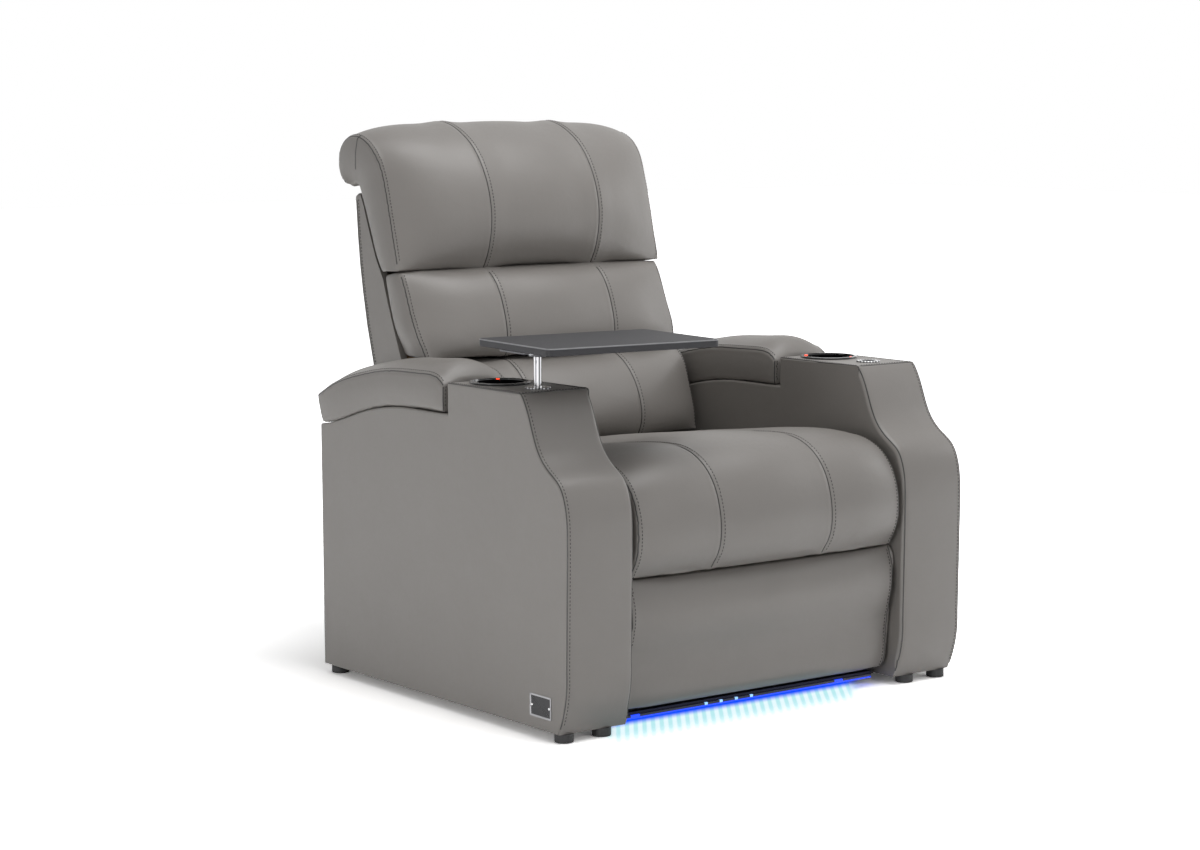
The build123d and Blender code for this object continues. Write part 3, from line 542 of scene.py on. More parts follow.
def stitchRow(pieceName, tree, lines, body):
    allPoints, allFaces = [], []
    for line in lines:
        spots = snapped(tree, resampled(line, sewing["pitch"]), sewing["lift"])
        for (a, normal), (b, _) in zip(spots, spots[1:]):
            along = b - a
            if along.length < 0.6 * sewing["pitch"] or along.length > 1.6 * sewing["pitch"]:
                continue
            along.normalize()
            side = normal.cross(along).normalized()
            up = along.cross(side)
            turn = np.array([along, side, up])
            offset = len(allPoints) * len(stitchPoints)
            allPoints.append(stitchPoints @ turn + np.array(a))
            allFaces += [tuple(i + offset for i in face) for face in stitchFaces]
    mesh = bpy.data.meshes.new(pieceName)
    mesh.from_pydata(np.concatenate(allPoints).tolist(), [], allFaces)
    finishPiece(newPiece(pieceName, mesh), body, finish["thread"])


def beside(line, tree, amount, toward):
    # the same line moved sideways over the surface
    spots = snapped(tree, line)
    moved = []
    for i, (place, normal) in enumerate(spots):
        a, b = spots[max(i - 1, 0)][0], spots[min(i + 1, len(spots) - 1)][0]
        across = normal.cross(b - a)
        if across.length < 1e-9:
            continue
        across.normalize()
        if across.dot(Vector(toward)) < 0:
            across = -across
        moved.append(place + across * amount)
    return moved


# padded pieces: voxel remesh, pressure against pinned seams, one subdivision, then sewn grooves
cloth = {"voxel": 0.0068, "pressure": 4.0, "frames": 14, "cap": 0.012, "shrink": 0.003, "groove": 0.0024,
         "grooveWidth": 0.007, "creaseAngle": 14.0, "pinned": 0.0045, "freeFrom": 0.012, "backFacing": 0.75,
         "valley": 0.034, "crest": 0.09, "rounding": 0.004, "softRounds": 14, "cutFacing": 0.45,
         "seamFacing": 0.35, "seamShare": 0.6}


def puffUp(piece, pinned, cap, pressure):
    group = piece.vertex_groups.new(name="pinned")
    group.add([int(i) for i in np.nonzero(pinned)[0]], 1.0, "REPLACE")
    makeActive(piece)
    modifier = piece.modifiers.new("puff", "CLOTH")
    modifier.settings.use_pressure = True
    modifier.settings.uniform_pressure_force = pressure
    modifier.settings.effector_weights.gravity = 0
    modifier.settings.vertex_group_mass = "pinned"
    modifier.settings.quality = 3
    modifier.settings.bending_stiffness = 2.0
    modifier.collision_settings.use_collision = False
    modifier.point_cache.frame_start = 1
    modifier.point_cache.frame_end = cloth["frames"]
    before = points(piece)
    for number in range(1, cloth["frames"] + 1):
        bpy.context.scene.frame_set(number)
    bpy.ops.object.modifier_apply(modifier=modifier.name)
    bpy.context.scene.frame_set(1)
    moved = points(piece) - before
    length = np.linalg.norm(moved, axis=1)
    share = cap * np.tanh(length / cap) / np.maximum(length, 1e-9)
    print("  puffed", piece.name, "by up to", round(1000 * float(length.max()), 1), "mm")
    setPoints(piece, before + moved * share[:, None])
    piece.vertex_groups.clear()


channelX = 0.131  # the sewn channels of the seat and back
armrest = {"from": 0.32, "middle": 0.392}  # where the armrests start and have their middle


def sectionLines(piece, x, flatBack):
    # where a lengthwise cut at x meets the padded faces, as lines from end to end
    mesh = bmesh.new()
    mesh.from_mesh(piece.data)
    everything = mesh.verts[:] + mesh.edges[:] + mesh.faces[:]
    cut = bmesh.ops.bisect_plane(mesh, geom=everything, plane_co=(x, 0, 0), plane_no=(1, 0, 0))["geom_cut"]
    mesh.normal_update()
    direction = Vector(flatBack).normalized()
    near = {}
    for edge in (item for item in cut if isinstance(item, bmesh.types.BMEdge)):
        if all(vertex.normal.dot(direction) < cloth["cutFacing"] for vertex in edge.verts):
            first, second = (vertex.co.copy().freeze() for vertex in edge.verts)
            near.setdefault(first, []).append(second)
            near.setdefault(second, []).append(first)
    mesh.free()
    lines, used = [], set()
    for start in [p for p, others in near.items() if len(others) == 1]:
        if start in used:
            continue
        line = [start]
        used.add(start)
        while True:
            following = [p for p in near[line[-1]] if p not in used]
            if not following:
                break
            used.add(following[0])
            line.append(following[0])
        if len(line) > 5:
            lines.append([Vector(p) for p in line])
    return lines


def softened(piece, weights):
    group = piece.vertex_groups.new(name="soft")
    for level in range(1, 11):
        chosen = np.nonzero(np.round(weights * 10).astype(int) == level)[0]
        if len(chosen):
            group.add([int(i) for i in chosen], level / 10, "REPLACE")
    applyModifier(piece, "SMOOTH", factor=0.5, iterations=cloth["softRounds"], vertex_group="soft")
    piece.vertex_groups.clear()


def paddedPiece(pieceName, node, body, flatBack, stretch=None, half=None, voxel=None, cap=None, fill=0.0,
                flatten=0.0, channels=True, shortest=0.06, soft=None, straight=None,
                endSeam=(), trim=(0.0, 0.0)):
    piece = mergedCopy(node, pieceName)
    direction = np.array(Vector(flatBack).normalized())
    sides = []
    for line in sharpLines(piece, cloth["creaseAngle"]):
        low = [min(p[i] for p in line) for i in range(3)]
        high = [max(p[i] for p in line) for i in range(3)]
        atChannel = channels and abs(abs(low[0] + high[0]) / 2 - channelX) < 0.006
        if high[0] - low[0] < 0.02 and max(high[1] - low[1], high[2] - low[2]) > shortest and not atChannel:
            sides.append(line)
    if stretch:
        setPoints(piece, stretch(points(piece)))
        sides = [[Vector(p) for p in stretch(np.array(line, float))] for line in sides]
    tree = lineTree(sides)
    piece.data.remesh_voxel_size = voxel or cloth["voxel"]
    makeActive(piece)
    bpy.ops.object.voxel_remesh()
    if soft:
        softened(piece, soft(points(piece)))
    co, normal = points(piece), pointNormals(piece)
    onBack = normal @ direction > cloth["backFacing"]

    def fromChannel(co):
        return np.abs(np.abs(co[:, 0]) - channelX) if channels else np.full(len(co), 1.0)

    if fill:
        # the valleys of the channels are filled out, so that only a shallow seam is left
        valley = np.exp(-(fromChannel(co) / cloth["valley"]) ** 2) * ~onBack
        crest = np.exp(-(co[:, 0] / cloth["crest"]) ** 2) * ~onBack
        setPoints(piece, co + normal * (fill * valley - flatten * crest)[:, None])
        co = points(piece)
    normal = pointNormals(piece)
    near = np.minimum(distances(tree, co), fromChannel(co) + 0.001)
    away = np.clip(near / cloth["freeFrom"], 0, 1) * ~onBack
    setPoints(piece, co - normal * (cloth["shrink"] * away)[:, None])
    puffUp(piece, (near < cloth["pinned"]) | onBack, cap or cloth["cap"], cloth["pressure"])
    if straight:
        straightSides(piece, *straight)
    applyModifier(piece, "SUBSURF", levels=1, render_levels=1)
    co, normal = points(piece), pointNormals(piece)
    onBack = normal @ direction > cloth["backFacing"]
    near = np.minimum(distances(tree, co), fromChannel(co) + onBack)
    dip = np.clip(1 - (near / cloth["grooveWidth"]) ** 2, 0, 1) ** 2
    co -= normal * (cloth["groove"] * dip)[:, None]
    if half:
        # the sides are held within the room between the arms
        start = half - cloth["rounding"]
        over = np.abs(co[:, 0]) > start
        held = start + cloth["rounding"] * np.tanh((np.abs(co[:, 0]) - start) / cloth["rounding"])
        co[over, 0] = (np.sign(co[:, 0]) * held)[over]
    setPoints(piece, co)
    finishPiece(piece, body, finish["leather"])
    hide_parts(node)
    surface = surfaceTree(piece)
    backward = Vector(direction)

    def shows(line):
        # most of the line lies on a face that doesn't look backwards
        forward = [surface.find_nearest(Vector(p))[1].dot(backward) < cloth["seamFacing"] for p in line]
        return sum(forward) > cloth["seamShare"] * len(line)

    sewnLines = [resampled(line) for line in sides if shows(line)]
    if channels:
        for x in (-channelX, channelX):
            sewnLines += [resampled(line) for line in sectionLines(piece, x, flatBack)]
    extra = [resampled([(side * x, y, z) for x, y, z in endSeam]) for side in (-1, 1) if endSeam]
    if any(trim):
        # the seams stop just short of the neighbour that the cushion tilts against
        for i, line in enumerate(sewnLines):
            heights = [p[2] for p in line]
            low, high = min(heights) + trim[0], max(heights) - trim[1]
            sewnLines[i] = [p for p in line if low <= p[2] <= high]
        sewnLines = [line for line in sewnLines if len(line) > 2]
    # dark tubes of painted shade along the sewn lines
    seamShadeTubes(pieceName + "ShadeTubes", surface, sewnLines + extra, body)
    rows = []
    for line in sewnLines:
        middle = sum(p[0] for p in line) / len(line)
        inward = -1 if middle > 0.15 else 1
        if not channels and abs(middle) > armrest["from"]:
            inward = 1 if abs(middle) < armrest["middle"] else -1
            inward *= 1 if middle > 0 else -1
        rows.append(beside(line, surface, sewing["aside"], (inward, 0, 0)))
    stitchRow(pieceName + "Stitches", surface, rows, body)
    print("padded", pieceName, len(piece.data.polygons), "faces,", len(sewnLines), "sewn lines")


def eased(value, low, high):
    share = np.clip((value - low) / (high - low), 0, 1)
    return share * share * (3 - 2 * share)


def lifted(low, high, axis, amount):
    # stretches a cushion smoothly towards its end, to meet its neighbour
    def stretch(co):
        co = co.copy()
        co[:, axis] += amount * eased(co[:, axis], low, high)
        return co
    return stretch


def widened(low, high, amount, lift=None):
    # spreads the sides of a cushion, more from one height to another
    def stretch(co):
        co = lift(co) if lift else co.copy()
        share = eased(co[:, 2], low, high) * eased(np.abs(co[:, 0]), 0.135, 0.30)
        co[:, 0] += np.sign(co[:, 0]) * amount * share
        return co
    return stretch


def lidShape(co):
    # the pad comes down to the arm all along its arched underside
    co = co.copy()
    under = np.interp(co[:, 1] + midY, (0.353, 0.440, 0.517, 0.604, 0.680, 0.738, 0.769),
                      (0.541, 0.541, 0.5377, 0.524, 0.5023, 0.4895, 0.4835))
    lower = 0.0016 + 0.0026 * eased(co[:, 1], 0.24, 0.30)
    co[:, 2] -= lower * (1 - np.clip((co[:, 2] - under) / 0.05, 0, 1))
    return co


def straightSides(piece, half, low, high):
    # brings the edges of a pad to straight lines, first the outermost one and then the one at the front
    co = points(piece)
    levels = np.linspace(low, high, 28)
    inside = eased(co[:, 2], low - 0.012, low + 0.012) * (1 - eased(co[:, 2], high - 0.004, high + 0.02))
    for side in (-1, 1):
        for across, forward in ((1.0, 0.0), (0.8, 0.6)):
            far = side * co[:, 0] * across - co[:, 1] * forward
            atSide = side * co[:, 0] > 0.25
            reach = [np.max(far[atSide & (np.abs(co[:, 2] - level) < 0.008)]) for level in levels]
            wanted = np.polyval(np.polyfit(levels, reach, 1), co[:, 2]) if forward else half
            missing = (wanted - np.interp(co[:, 2], levels, reach)) / across
            co[:, 0] += side * missing * inside * eased(side * co[:, 0], 0.22, 0.305)
    setPoints(piece, co)


def squareEnds(co):
    # the ends of the roll stay high and wide, and its foot reaches down to the next cushion
    co = lifted(0.84, 0.772, 2, -0.006)(co)
    top = eased(co[:, 2], 0.93, 1.03)
    co[:, 2] += 0.006 * top * eased(np.abs(co[:, 0]), 0.16, 0.30)
    co[:, 0] += np.sign(co[:, 0]) * 0.006 * top * eased(np.abs(co[:, 0]), 0.20, 0.31)
    return co


def seatShape(co):
    # the rear of the seat runs on under the back, so that no floor shows between them
    co = co.copy()
    co[:, 1] += 0.030 * eased(co[:, 1], 0.02, 0.083) * (1 - eased(co[:, 2], 0.385, 0.425))
    return co


# what each cushion is made from: its CAD node and body, the way its flat back looks, and its limits
lidPad = dict(flatBack=(0, 0, -1), cap=0.006, channels=False, shortest=0.03, stretch=lidShape,
              soft=lambda co: eased(co[:, 1], 0.292, 0.322))
cushions = {
    "seatCushion": dict(
        node="seat_cushion", body="base", flatBack=(0, 0.25, -1), half=0.3172, voxel=0.0078, fill=0.003,
        stretch=seatShape),
    "lumbarCushion": dict(
        node="lumbar_cushion", body="back", flatBack=(0, 1, -0.35), half=0.3135, fill=0.003),
    "midbackCushion": dict(
        node="midback_cushion", body="back", flatBack=(0, 1, -0.3), half=0.3205, fill=0.003,
        trim=(0.0, 0.009), stretch=widened(0.60, 0.66, 0.009, lifted(0.68, 0.755, 2, 0.013)),
        soft=lambda co: eased(co[:, 2], 0.735, 0.765) * eased(np.abs(co[:, 0]), 0.27, 0.31)),
    "headrestCushion": dict(
        node="headrest_cushion", body="headrest", flatBack=(0, 1, -0.3), half=0.3320, fill=0.0085,
        flatten=0.003, stretch=widened(0.70, 0.76, 0.014, squareEnds), trim=(0.011, 0.0),
        endSeam=((0.33, 0.386, 1.050), (0.33, 0.394, 1.022), (0.33, 0.400, 0.992), (0.33, 0.404, 0.958))),
    "footrestPad": dict(
        node="footrest_pad", body="footrest_panel", flatBack=(0, 1, 0), half=0.3165, cap=0.003, voxel=0.0075,
        channels=False, straight=(0.3150, 0.045, 0.255),
        stretch=lifted(0.2, 0.262, 2, 0.0085),  # its top edge reaches up to the seat
        soft=lambda co: eased(co[:, 2], 0.06, 0.03) * eased(np.abs(co[:, 0]), 0.26, 0.30)),
    "lidPadLeft": dict(node="lid_pad_left", body="lid_left", **lidPad),
    "lidPadRight": dict(node="lid_pad_right", body="lid_right", **lidPad),
}
for pieceName, facts in cushions.items():
    paddedPiece(pieceName, **facts)


# arms: the flat outer side of the CAD arm, drawn out, rounded and opened
arm = {"outer": 0.465, "width": 0.146, "edge": 0.0042, "innerRim": 0.011, "crown": 0.003, "middle": 0.392,
       "cup": (0.276, 0.0502, 0.514), "post": (0.163, 0.0172, 0.50),  # place along the arm, radius, bottom
       "bin": ((0.380, 0.702), 0.054, 0.317),  # from and to along the arm, half width, bottom
       "deckZ": 0.596, "deckFront": 0.114, "deckRear": 0.337, "above": 0.64,
       "crownShare": 0.94, "crownRun": 0.04, "crownFoot": (0.02, 0.05), "innerFrom": 0.47, "foot": 0.018,
       "rearFrom": 0.755, "seamIn": 0.0012, "stitchAside": 0.0062}


def cutWith(piece, cutter):
    applyModifier(piece, "BOOLEAN", operation="DIFFERENCE", object=cutter, solver="EXACT")
    bpy.data.objects.remove(cutter, do_unlink=True)


def armOutline(nodeName, side):
    # the outer side of the CAD arm as one face, and its corners in order
    piece = mergedCopy(nodeName, "armOutline")
    selectFaces(piece, lambda polygon, co: any(abs(p.x - side * arm["outer"]) > 0.0002 for p in co))
    bpy.ops.mesh.delete(type="FACE")
    selectAll()
    bpy.ops.mesh.dissolve_faces()
    toMode("OBJECT")
    face = max(piece.data.polygons, key=lambda polygon: polygon.area)
    outline = [piece.data.vertices[i].co.copy() for i in face.vertices]
    return piece, outline


def upholsteredArm(nodeName, pieceName, side):
    piece, outline = armOutline(nodeName, side)
    piece.name = piece.data.name = pieceName
    edgeX, farX = side * arm["outer"], side * (arm["outer"] - arm["width"])
    middleX, slopeTop = side * arm["middle"], arm["deckFront"] - midY
    makeActive(piece)
    toMode("EDIT")
    selectAll()
    drawOut(farX - edgeX, 0, 0)
    selectAll()
    bpy.ops.mesh.normals_make_consistent(inside=False)
    selectEdges(piece, lambda a, b: abs(a.x - b.x) > 0.1)
    bpy.ops.mesh.subdivide(number_cuts=7)
    toMode("OBJECT")
    # the front band is crowned across its width, less towards the deck
    co, normal = points(piece), pointNormals(piece)
    across = (co[:, 0] - middleX) / (arm["width"] / 2)
    inside = np.abs(across) < arm["crownShare"]
    footHeight, footRun = arm["crownFoot"]
    front = np.clip((slopeTop - co[:, 1]) / arm["crownRun"], 0, 1)
    front *= np.clip((co[:, 2] - footHeight) / footRun, 0, 1)
    normal[:, 0] = 0
    co += normal * (arm["crown"] * (1 - across ** 2) * front * inside)[:, None]
    setPoints(piece, co)

    def onInner(a, b):
        return abs(a.x - farX) < sameSpot and abs(b.x - farX) < sameSpot

    def onOuter(a, b):
        return abs(a.x - edgeX) < sameSpot and abs(b.x - edgeX) < sameSpot

    def acrossDeck(a, b):
        ends = min(abs(a.y + midY - arm["deckFront"]), abs(a.y + midY - arm["deckRear"]))
        level = abs(a.y - b.y) < 1e-5 and abs(a.z - b.z) < 1e-5
        return level and abs(a.z - arm["deckZ"]) < sameSpot and ends < sameSpot

    selectEdges(piece, lambda a, b: onInner(a, b) and max(a.y, b.y) < slopeTop - 0.004
                and min(a.z, b.z) > 0.03)
    bpy.ops.mesh.bevel(offset=arm["innerRim"], segments=5, affect="EDGES")
    selectEdges(piece, lambda a, b: onOuter(a, b) or acrossDeck(a, b)
                or (onInner(a, b) and min(a.z, b.z) > arm["innerFrom"] and max(a.y, b.y) > slopeTop - 0.001))
    bpy.ops.mesh.bevel(offset=arm["edge"], segments=3, affect="EDGES")
    for place, radius, bottom in (arm["cup"], arm["post"]):
        deselectAll()
        bpy.ops.mesh.primitive_cylinder_add(
            vertices=96, radius=radius, depth=arm["above"] - bottom,
            location=(middleX, place - midY, (arm["above"] + bottom) / 2))
        cutWith(piece, bpy.context.object)
    (near, far), half, bottom = arm["bin"]
    deselectAll()
    bpy.ops.mesh.primitive_cube_add(
        size=1, location=(middleX, (near + far) / 2 - midY, (arm["above"] + bottom) / 2),
        scale=(2 * half, far - near, arm["above"] - bottom))
    cutWith(piece, bpy.context.object)
    finishPiece(piece, "base", finish["leather"], 35)
    applyModifier(piece, "WEIGHTED_NORMAL", keep_sharp=True)
    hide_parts(nodeName)

    # seams: outer corner from the lid round the deck and down the front, deck front, inner corner
    surface = surfaceTree(piece)

    def fromDeckRear(i):
        return (outline[i].y + midY - arm["deckRear"]) ** 2 + (outline[i].z - arm["deckZ"]) ** 2

    start = min(range(len(outline)), key=fromDeckRear)
    ring = outline[start:] + outline[:start]
    if abs(ring[1].z - arm["deckZ"]) > 0.001:
        ring = [ring[0]] + ring[:0:-1]
    underside = [i for i, p in enumerate(ring) if p.z < arm["foot"]]
    front = ring[:underside[0]]
    rear = [p for p in ring[underside[-1]:] if p.y + midY > arm["rearFrom"]]
    deck = [p for p in front if abs(p.z - arm["deckZ"]) < sameSpot]
    slope = [p for p in front if p.y + midY <= arm["deckFront"] + sameSpot]

    def atX(line, inward):
        return [Vector((side * (arm["outer"] - inward), p.y, p.z)) for p in line]

    outer, inner = arm["seamIn"], arm["width"] - arm["seamIn"]
    cornerFront = [Vector((side * x, slopeTop + 0.001, arm["deckZ"] - 0.001))
                   for x in np.linspace(arm["outer"] - 0.004, arm["outer"] - arm["width"] + 0.004, 40)]
    shadeTubePaths = [resampled(atX(front, outer)), resampled(atX(deck, inner)), resampled(cornerFront)]
    if len(rear) > 1:
        shadeTubePaths.append(resampled(atX(rear, outer)))
    shadeTubePaths.append(resampled(atX(slope, arm["width"] - 0.001)))
    # dark tubes of painted shade along the arm's seams
    seamShadeTubes(pieceName + "ShadeTubes", surface, shadeTubePaths, "base")
    aside = arm["stitchAside"]
    rows = [resampled(atX(slope, aside + 0.001)), resampled(atX(deck, aside)),
            [p + Vector((0, 0.0055, 0.002)) for p in cornerFront], resampled(atX(deck, arm["width"] - aside))]
    stitchRow(pieceName + "Stitches", surface, rows, "base")
    print("upholstered", pieceName, len(piece.data.polygons), "faces")


upholsteredArm("arm_cover_left", "armLeft", -1)
upholsteredArm("arm_cover_right", "armRight", 1)


# a bare metal plate with a raised rim and two rivets, low on the left arm
plate = {"face": -0.465, "thick": 0.0012, "low": (-0.4251, 0.0385), "high": (-0.3631, 0.0785),
         "corner": 0.003, "edge": 0.0004, "rim": 0.0024, "step": 0.0006, "sunk": 0.0005,
         "rivet": 0.0024, "rivetY": (-0.4191, -0.3691)}


def barePlate(pieceName):
    (y0, z0), (y1, z1) = plate["low"], plate["high"]
    deselectAll()
    bpy.ops.mesh.primitive_cube_add(
        size=1, location=(plate["face"] - plate["thick"] / 2, (y0 + y1) / 2, (z0 + z1) / 2),
        scale=(plate["thick"], y1 - y0, z1 - z0))
    piece = bpy.context.object
    piece.name = piece.data.name = pieceName
    bpy.ops.object.transform_apply()
    selectEdges(piece, lambda a, b: abs(a.x - b.x) > sameSpot)
    bpy.ops.mesh.bevel(offset=plate["corner"], segments=4, affect="EDGES")
    selectFaces(piece, lambda polygon, corners: polygon.normal.x < -0.9)
    bpy.ops.mesh.inset(thickness=plate["edge"], depth=0)
    bpy.ops.mesh.inset(thickness=plate["rim"], depth=0)
    bpy.ops.mesh.inset(thickness=plate["step"], depth=-plate["sunk"])
    for slot in ("plate", "plateField"):
        piece.data.materials.append(finish[slot])
    piece.active_material_index = 1
    bpy.ops.object.material_slot_assign()
    toMode("OBJECT")
    rivets = []
    for y in plate["rivetY"]:
        deselectAll()
        bpy.ops.mesh.primitive_uv_sphere_add(segments=20, ring_count=10, radius=plate["rivet"], location=(
            plate["face"] - plate["thick"] * 0.6, y, (z0 + z1) / 2), scale=(0.6, 1, 1))
        rivets.append(bpy.context.object)
        rivets[-1].data.materials.append(finish["rivet"])
        bpy.ops.object.shade_smooth()
    deselectAll()
    for rivet in rivets:
        rivet.select_set(True)
    piece.select_set(True)
    bpy.context.view_layer.objects.active = piece
    bpy.ops.object.join()
    bpy.ops.object.transform_apply()
    finishPiece(piece, "base", None, 30)
    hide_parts("nameplate")


barePlate("armPlate")


# the leather sleeve round the sides, top and rear of the back
back = {"half": 0.3160, "footHalf": 0.3132, "footHigh": 0.30, "thick": 0.0028, "corner": 0.010,
        "turnIn": 0.014, "seamIn": 0.012, "stitchAside": 0.005,
        "front": [(0.6324, 0.424), (0.6454, 0.452), (0.6604, 0.486), (0.6764, 0.520), (0.6914, 0.555),
                  (0.7044, 0.582), (0.7224, 0.620), (0.7354, 0.650), (0.7484, 0.680), (0.7594, 0.708),
                  (0.7684, 0.732), (0.7744, 0.750), (0.800, 0.790), (0.824, 0.845), (0.842, 0.890),
                  (0.851, 0.908)],
        "top": [(0.856, 0.912), (0.868, 0.914), (0.876, 0.909)],
        "rear": [(0.877, 0.90), (0.8745, 0.872), (0.871, 0.83), (0.8645, 0.776), (0.855, 0.722),
                 (0.8405, 0.655), (0.821, 0.588), (0.803, 0.518), (0.782, 0.45), (0.757, 0.356),
                 (0.728, 0.262)],
        "foot": (0.700, 0.262)}


def backSleeve(pieceName):
    # starts as one edge, drawn round the side view of the back point by point
    deselectAll()
    profile = back["front"] + back["top"] + back["rear"] + [back["foot"]]
    bpy.ops.mesh.primitive_plane_add(size=0.1)
    piece = bpy.context.object
    piece.name = piece.data.name = pieceName
    toMode("EDIT")
    bpy.ops.mesh.select_mode(type="VERT")
    selectAll()
    bpy.ops.mesh.merge(type="CENTER")
    place = Vector((-back["half"], profile[0][0] - midY, profile[0][1]))
    bpy.ops.transform.translate(value=place)
    for y, z in profile[1:]:
        following = Vector((-back["half"], y - midY, z))
        bpy.ops.mesh.extrude_vertices_move(TRANSFORM_OT_translate={"value": following - place})
        place = following
    selectAll()
    bpy.ops.mesh.edge_face_add()
    selectAll()
    drawOut(2 * back["half"], 0, 0)
    selectAll()
    bpy.ops.mesh.normals_make_consistent(inside=False)
    # a narrower foot, which passes the side plates when the back is down
    selectEdges(piece, lambda a, b: max(a.z, b.z) < back["footHigh"])
    bpy.ops.transform.resize(value=(back["footHalf"] / back["half"], 1, 1))
    # the side facing the cushions stays open
    for x in (-1, 1):
        selectAll()
        bpy.ops.mesh.bisect(plane_co=(x * (back["half"] - back["turnIn"]), 0, 0), plane_no=(1, 0, 0))
    toMode("OBJECT")
    frontLine, rearLine = ([Vector((0, y - midY, z)) for y, z in line]
                           for line in (back["front"], back["rear"] + back["top"]))

    def near(place, line):
        return min((Vector((0, place.y, place.z)) - q).length for q in line) < sameSpot

    def facesCushions(polygon, corners):
        if abs(polygon.normal.x) > 0.5 or abs(polygon.center.x) > back["half"] - back["turnIn"]:
            return False
        return all(near(p, frontLine) for p in corners)

    selectFaces(piece, facesCushions)
    bpy.ops.mesh.delete(type="FACE")

    def rearEdge(a, b):
        atSide = abs(abs(a.x) - back["half"]) < 1e-4 and abs(a.x - b.x) < 1e-5
        return atSide and near(a, rearLine) and near(b, rearLine)

    selectEdges(piece, rearEdge)
    bpy.ops.mesh.bevel(offset=back["corner"], segments=4, affect="EDGES")
    toMode("OBJECT")
    bpy.ops.object.transform_apply()
    applyModifier(piece, "SOLIDIFY", thickness=back["thick"], offset=-1)
    finishPiece(piece, "back", finish["leather"], 40)
    applyModifier(piece, "WEIGHTED_NORMAL", keep_sharp=True)
    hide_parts("back_shell")
    surface = surfaceTree(piece)
    shadeTubePaths, rows = [], []
    for side in (-1, 1):
        line = [Vector((side * back["half"], y - midY - back["seamIn"], z)) for y, z in back["rear"]]
        shadeTubePaths.append(resampled(line))
        rows.append([p - Vector((0, back["stitchAside"], 0)) for p in resampled(line)])
    # dark tubes of painted shade along the sleeve's rear seams
    seamShadeTubes(pieceName + "ShadeTubes", surface, shadeTubePaths, "back")
    stitchRow(pieceName + "Stitches", surface, rows, "back")
    print("sleeved the back")


backSleeve("backSleeve")


# the stage: floor, world, lights and camera
camera = {"place": (-3.1851, -4.1277, 1.1086), "yaw": 37.34, "pitch": -6.93, "lens": 82.03}
light = {"world": 0.24, "floor": 0.60, "floorSeen": 2.8, "floorNear": 0.03,
         "floorFade": (0.9, 2.2), "lamps": {
    # place, size and power
    "leftLow": ((-3.0, -0.9, 0.40), 0.8, 18.0), "front": ((0.6, -3.8, 1.9), 1.8, 15.0),
    "right": ((3.3, -0.9, 1.5), 1.4, 18.0), "overhead": ((0.26, -0.6, 3.2), 1.8, 46.0)}}


def seenRays(graph):
    # 1 where the camera looks, also by way of a glossy or a clear surface
    path = graph.nodes.new("ShaderNodeLightPath")
    result = path.outputs["Is Camera Ray"]
    for kind in ("Is Glossy Ray", "Is Transmission Ray"):
        joined = newNode(graph, "ShaderNodeMath", operation="MAXIMUM")
        graph.links.new(result, joined.inputs[0])
        graph.links.new(path.outputs[kind], joined.inputs[1])
        result = joined.outputs["Value"]
    return result


def makeWorld():
    world = bpy.context.scene.world or bpy.data.worlds.new("studio")
    bpy.context.scene.world = world
    world.use_nodes = True
    graph = world.node_tree
    seen = seenRays(graph)
    level = newNode(graph, "ShaderNodeMapRange", To_Min=light["world"])
    graph.links.new(seen, level.inputs["Value"])
    graph.links.new(level.outputs["Result"], graph.nodes["Background"].inputs["Strength"])
    graph.nodes["Background"].inputs["Color"].default_value = (1, 1, 1, 1)


# where and how the painted light of the strip lies on the floor
streaks = {"start": -0.357, "reach": 0.235, "slant": 0.763, "pitch": 0.0195, "half": (0.315, 0.265),
           "line": (0.052, 0.012), "barFade": 0.09, "fade": 0.06,
           "blue": (0.0, 0.07, 1.0), "pale": (0.80, 0.96, 1.0), "bar": (0.50, 0.84, 0.88)}


def streakLight(graph):
    # painted light of the strip on the floor: a blue line, then pale bars that run towards the viewer and
    # fade
    calculate, ramp, mixed, (x, y, _) = numberTools(graph)
    away = calculate("SUBTRACT", streaks["start"], y)
    along = calculate("ADD", x, calculate("MULTIPLY", away, streaks["slant"]))
    wave = calculate("SINE", calculate("MULTIPLY", along, 2 * math.pi / streaks["pitch"]))
    bars = calculate("MULTIPLY", ramp(wave, -0.6, 0.7), ramp(away, streaks["reach"], streaks["barFade"]))
    color = mixed(bars, streaks["pale"], streaks["bar"])
    color = mixed(ramp(away, *streaks["line"]), color, streaks["blue"])
    sides = ramp(calculate("ABSOLUTE", along), *streaks["half"])
    zone = calculate("MULTIPLY", ramp(away, streaks["reach"], streaks["fade"]), ramp(away, -0.001, 0.0))
    glow = graph.nodes.new("ShaderNodeEmission")
    graph.links.new(color, glow.inputs["Color"])
    return calculate("MULTIPLY", zone, sides), glow.outputs["Emission"]


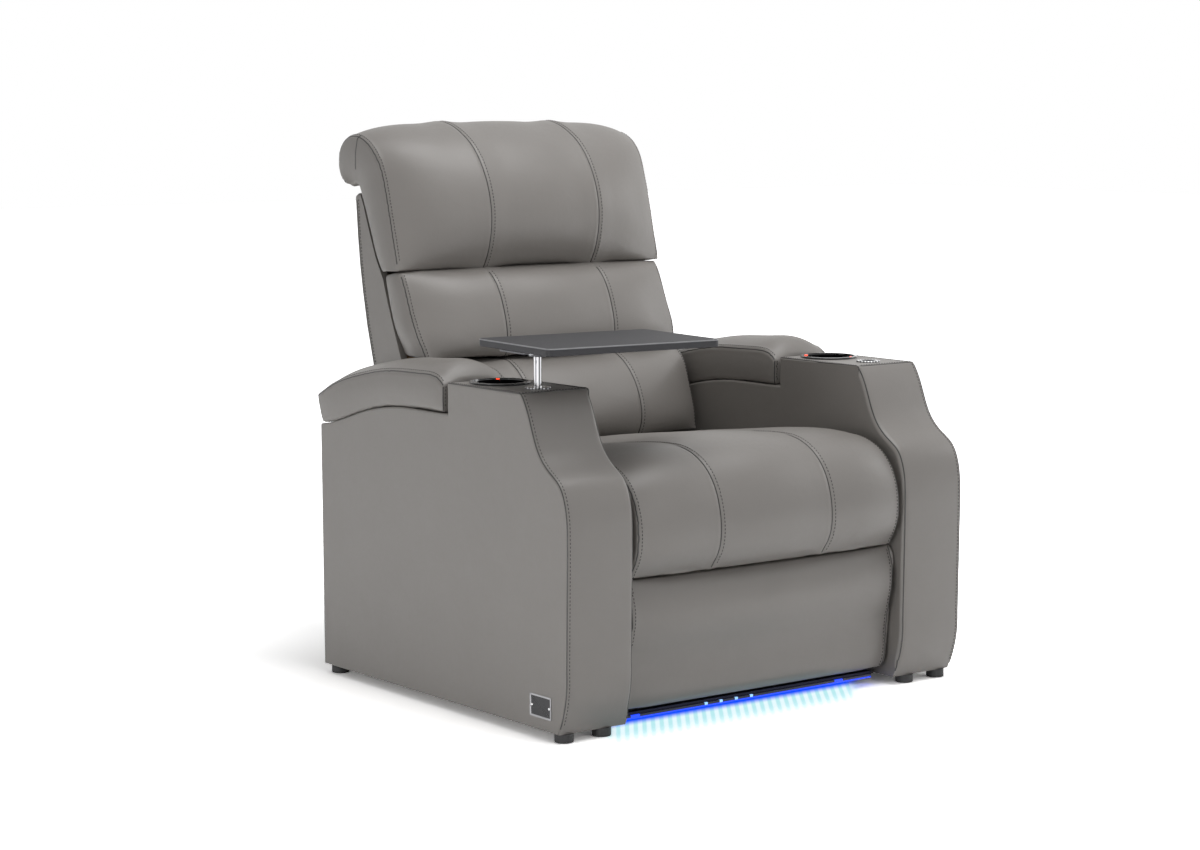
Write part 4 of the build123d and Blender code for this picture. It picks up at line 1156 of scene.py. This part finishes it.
def makeFloor():
    bpy.ops.mesh.primitive_plane_add(size=40, location=(0, 0, 0))
    floor = bpy.context.object
    floor.name = "studioFloor"
    white = (light["floor"],) * 3
    material, graph = startMaterial("floorWhite", white, 0.9)
    grain = objectPattern(graph, "ShaderNodeTexNoise", 3.0)
    addBump(graph, grain, 0.01, 0.001)
    calculate, _, mixed, _ = numberTools(graph)
    seen = seenRays(graph)
    feed(graph, "Base Color", mixed(seen, white, (light["floorSeen"],) * 3))
    place = graph.nodes.new("ShaderNodeTexCoord")
    reach = newNode(graph, "ShaderNodeVectorMath", operation="LENGTH")
    graph.links.new(place.outputs["Object"], reach.inputs[0])
    near, far = light["floorFade"]
    fade = newNode(graph, "ShaderNodeMapRange", From_Min=near, From_Max=far, To_Min=light["floorNear"])
    graph.links.new(reach.outputs["Value"], fade.inputs["Value"])
    glow = graph.nodes.new("ShaderNodeEmission")
    graph.links.new(calculate("MULTIPLY", seen, fade.outputs["Result"]), glow.inputs["Strength"])
    both = graph.nodes.new("ShaderNodeAddShader")
    graph.links.new(graph.nodes["Principled BSDF"].outputs["BSDF"], both.inputs[0])
    graph.links.new(glow.outputs["Emission"], both.inputs[1])
    # painted light of the strip, laid over the floor where the camera sees it
    mask, stripLight = streakLight(graph)
    joined = graph.nodes.new("ShaderNodeMixShader")
    graph.links.new(calculate("MULTIPLY", mask, seen), joined.inputs["Fac"])
    graph.links.new(both.outputs["Shader"], joined.inputs[1])
    graph.links.new(stripLight, joined.inputs[2])
    graph.links.new(joined.outputs["Shader"], graph.nodes["Material Output"].inputs["Surface"])
    floor.data.materials.append(material)


def areaLight(name, place, target, size, power):
    bpy.ops.object.light_add(type="AREA", location=place)
    lamp = bpy.context.object
    lamp.name = name
    lamp.data.size = size
    lamp.data.energy = power
    direction = Vector(target) - Vector(place)
    lamp.rotation_euler = direction.to_track_quat("-Z", "Y").to_euler()


def makeCamera():
    turn = (math.radians(90 + camera["pitch"]), 0, math.radians(-camera["yaw"]))
    bpy.ops.object.camera_add(location=camera["place"], rotation=turn)
    seat = bpy.context.object
    seat.data.lens = camera["lens"]
    seat.data.sensor_width = 36
    bpy.context.scene.camera = seat


makeWorld()
makeFloor()
for name, (place, size, power) in light["lamps"].items():
    areaLight(name, place, (0, 0, 0.45), size, power)
makeCamera()
bpy.context.scene.view_settings.view_transform = "Standard"
print("stage set")
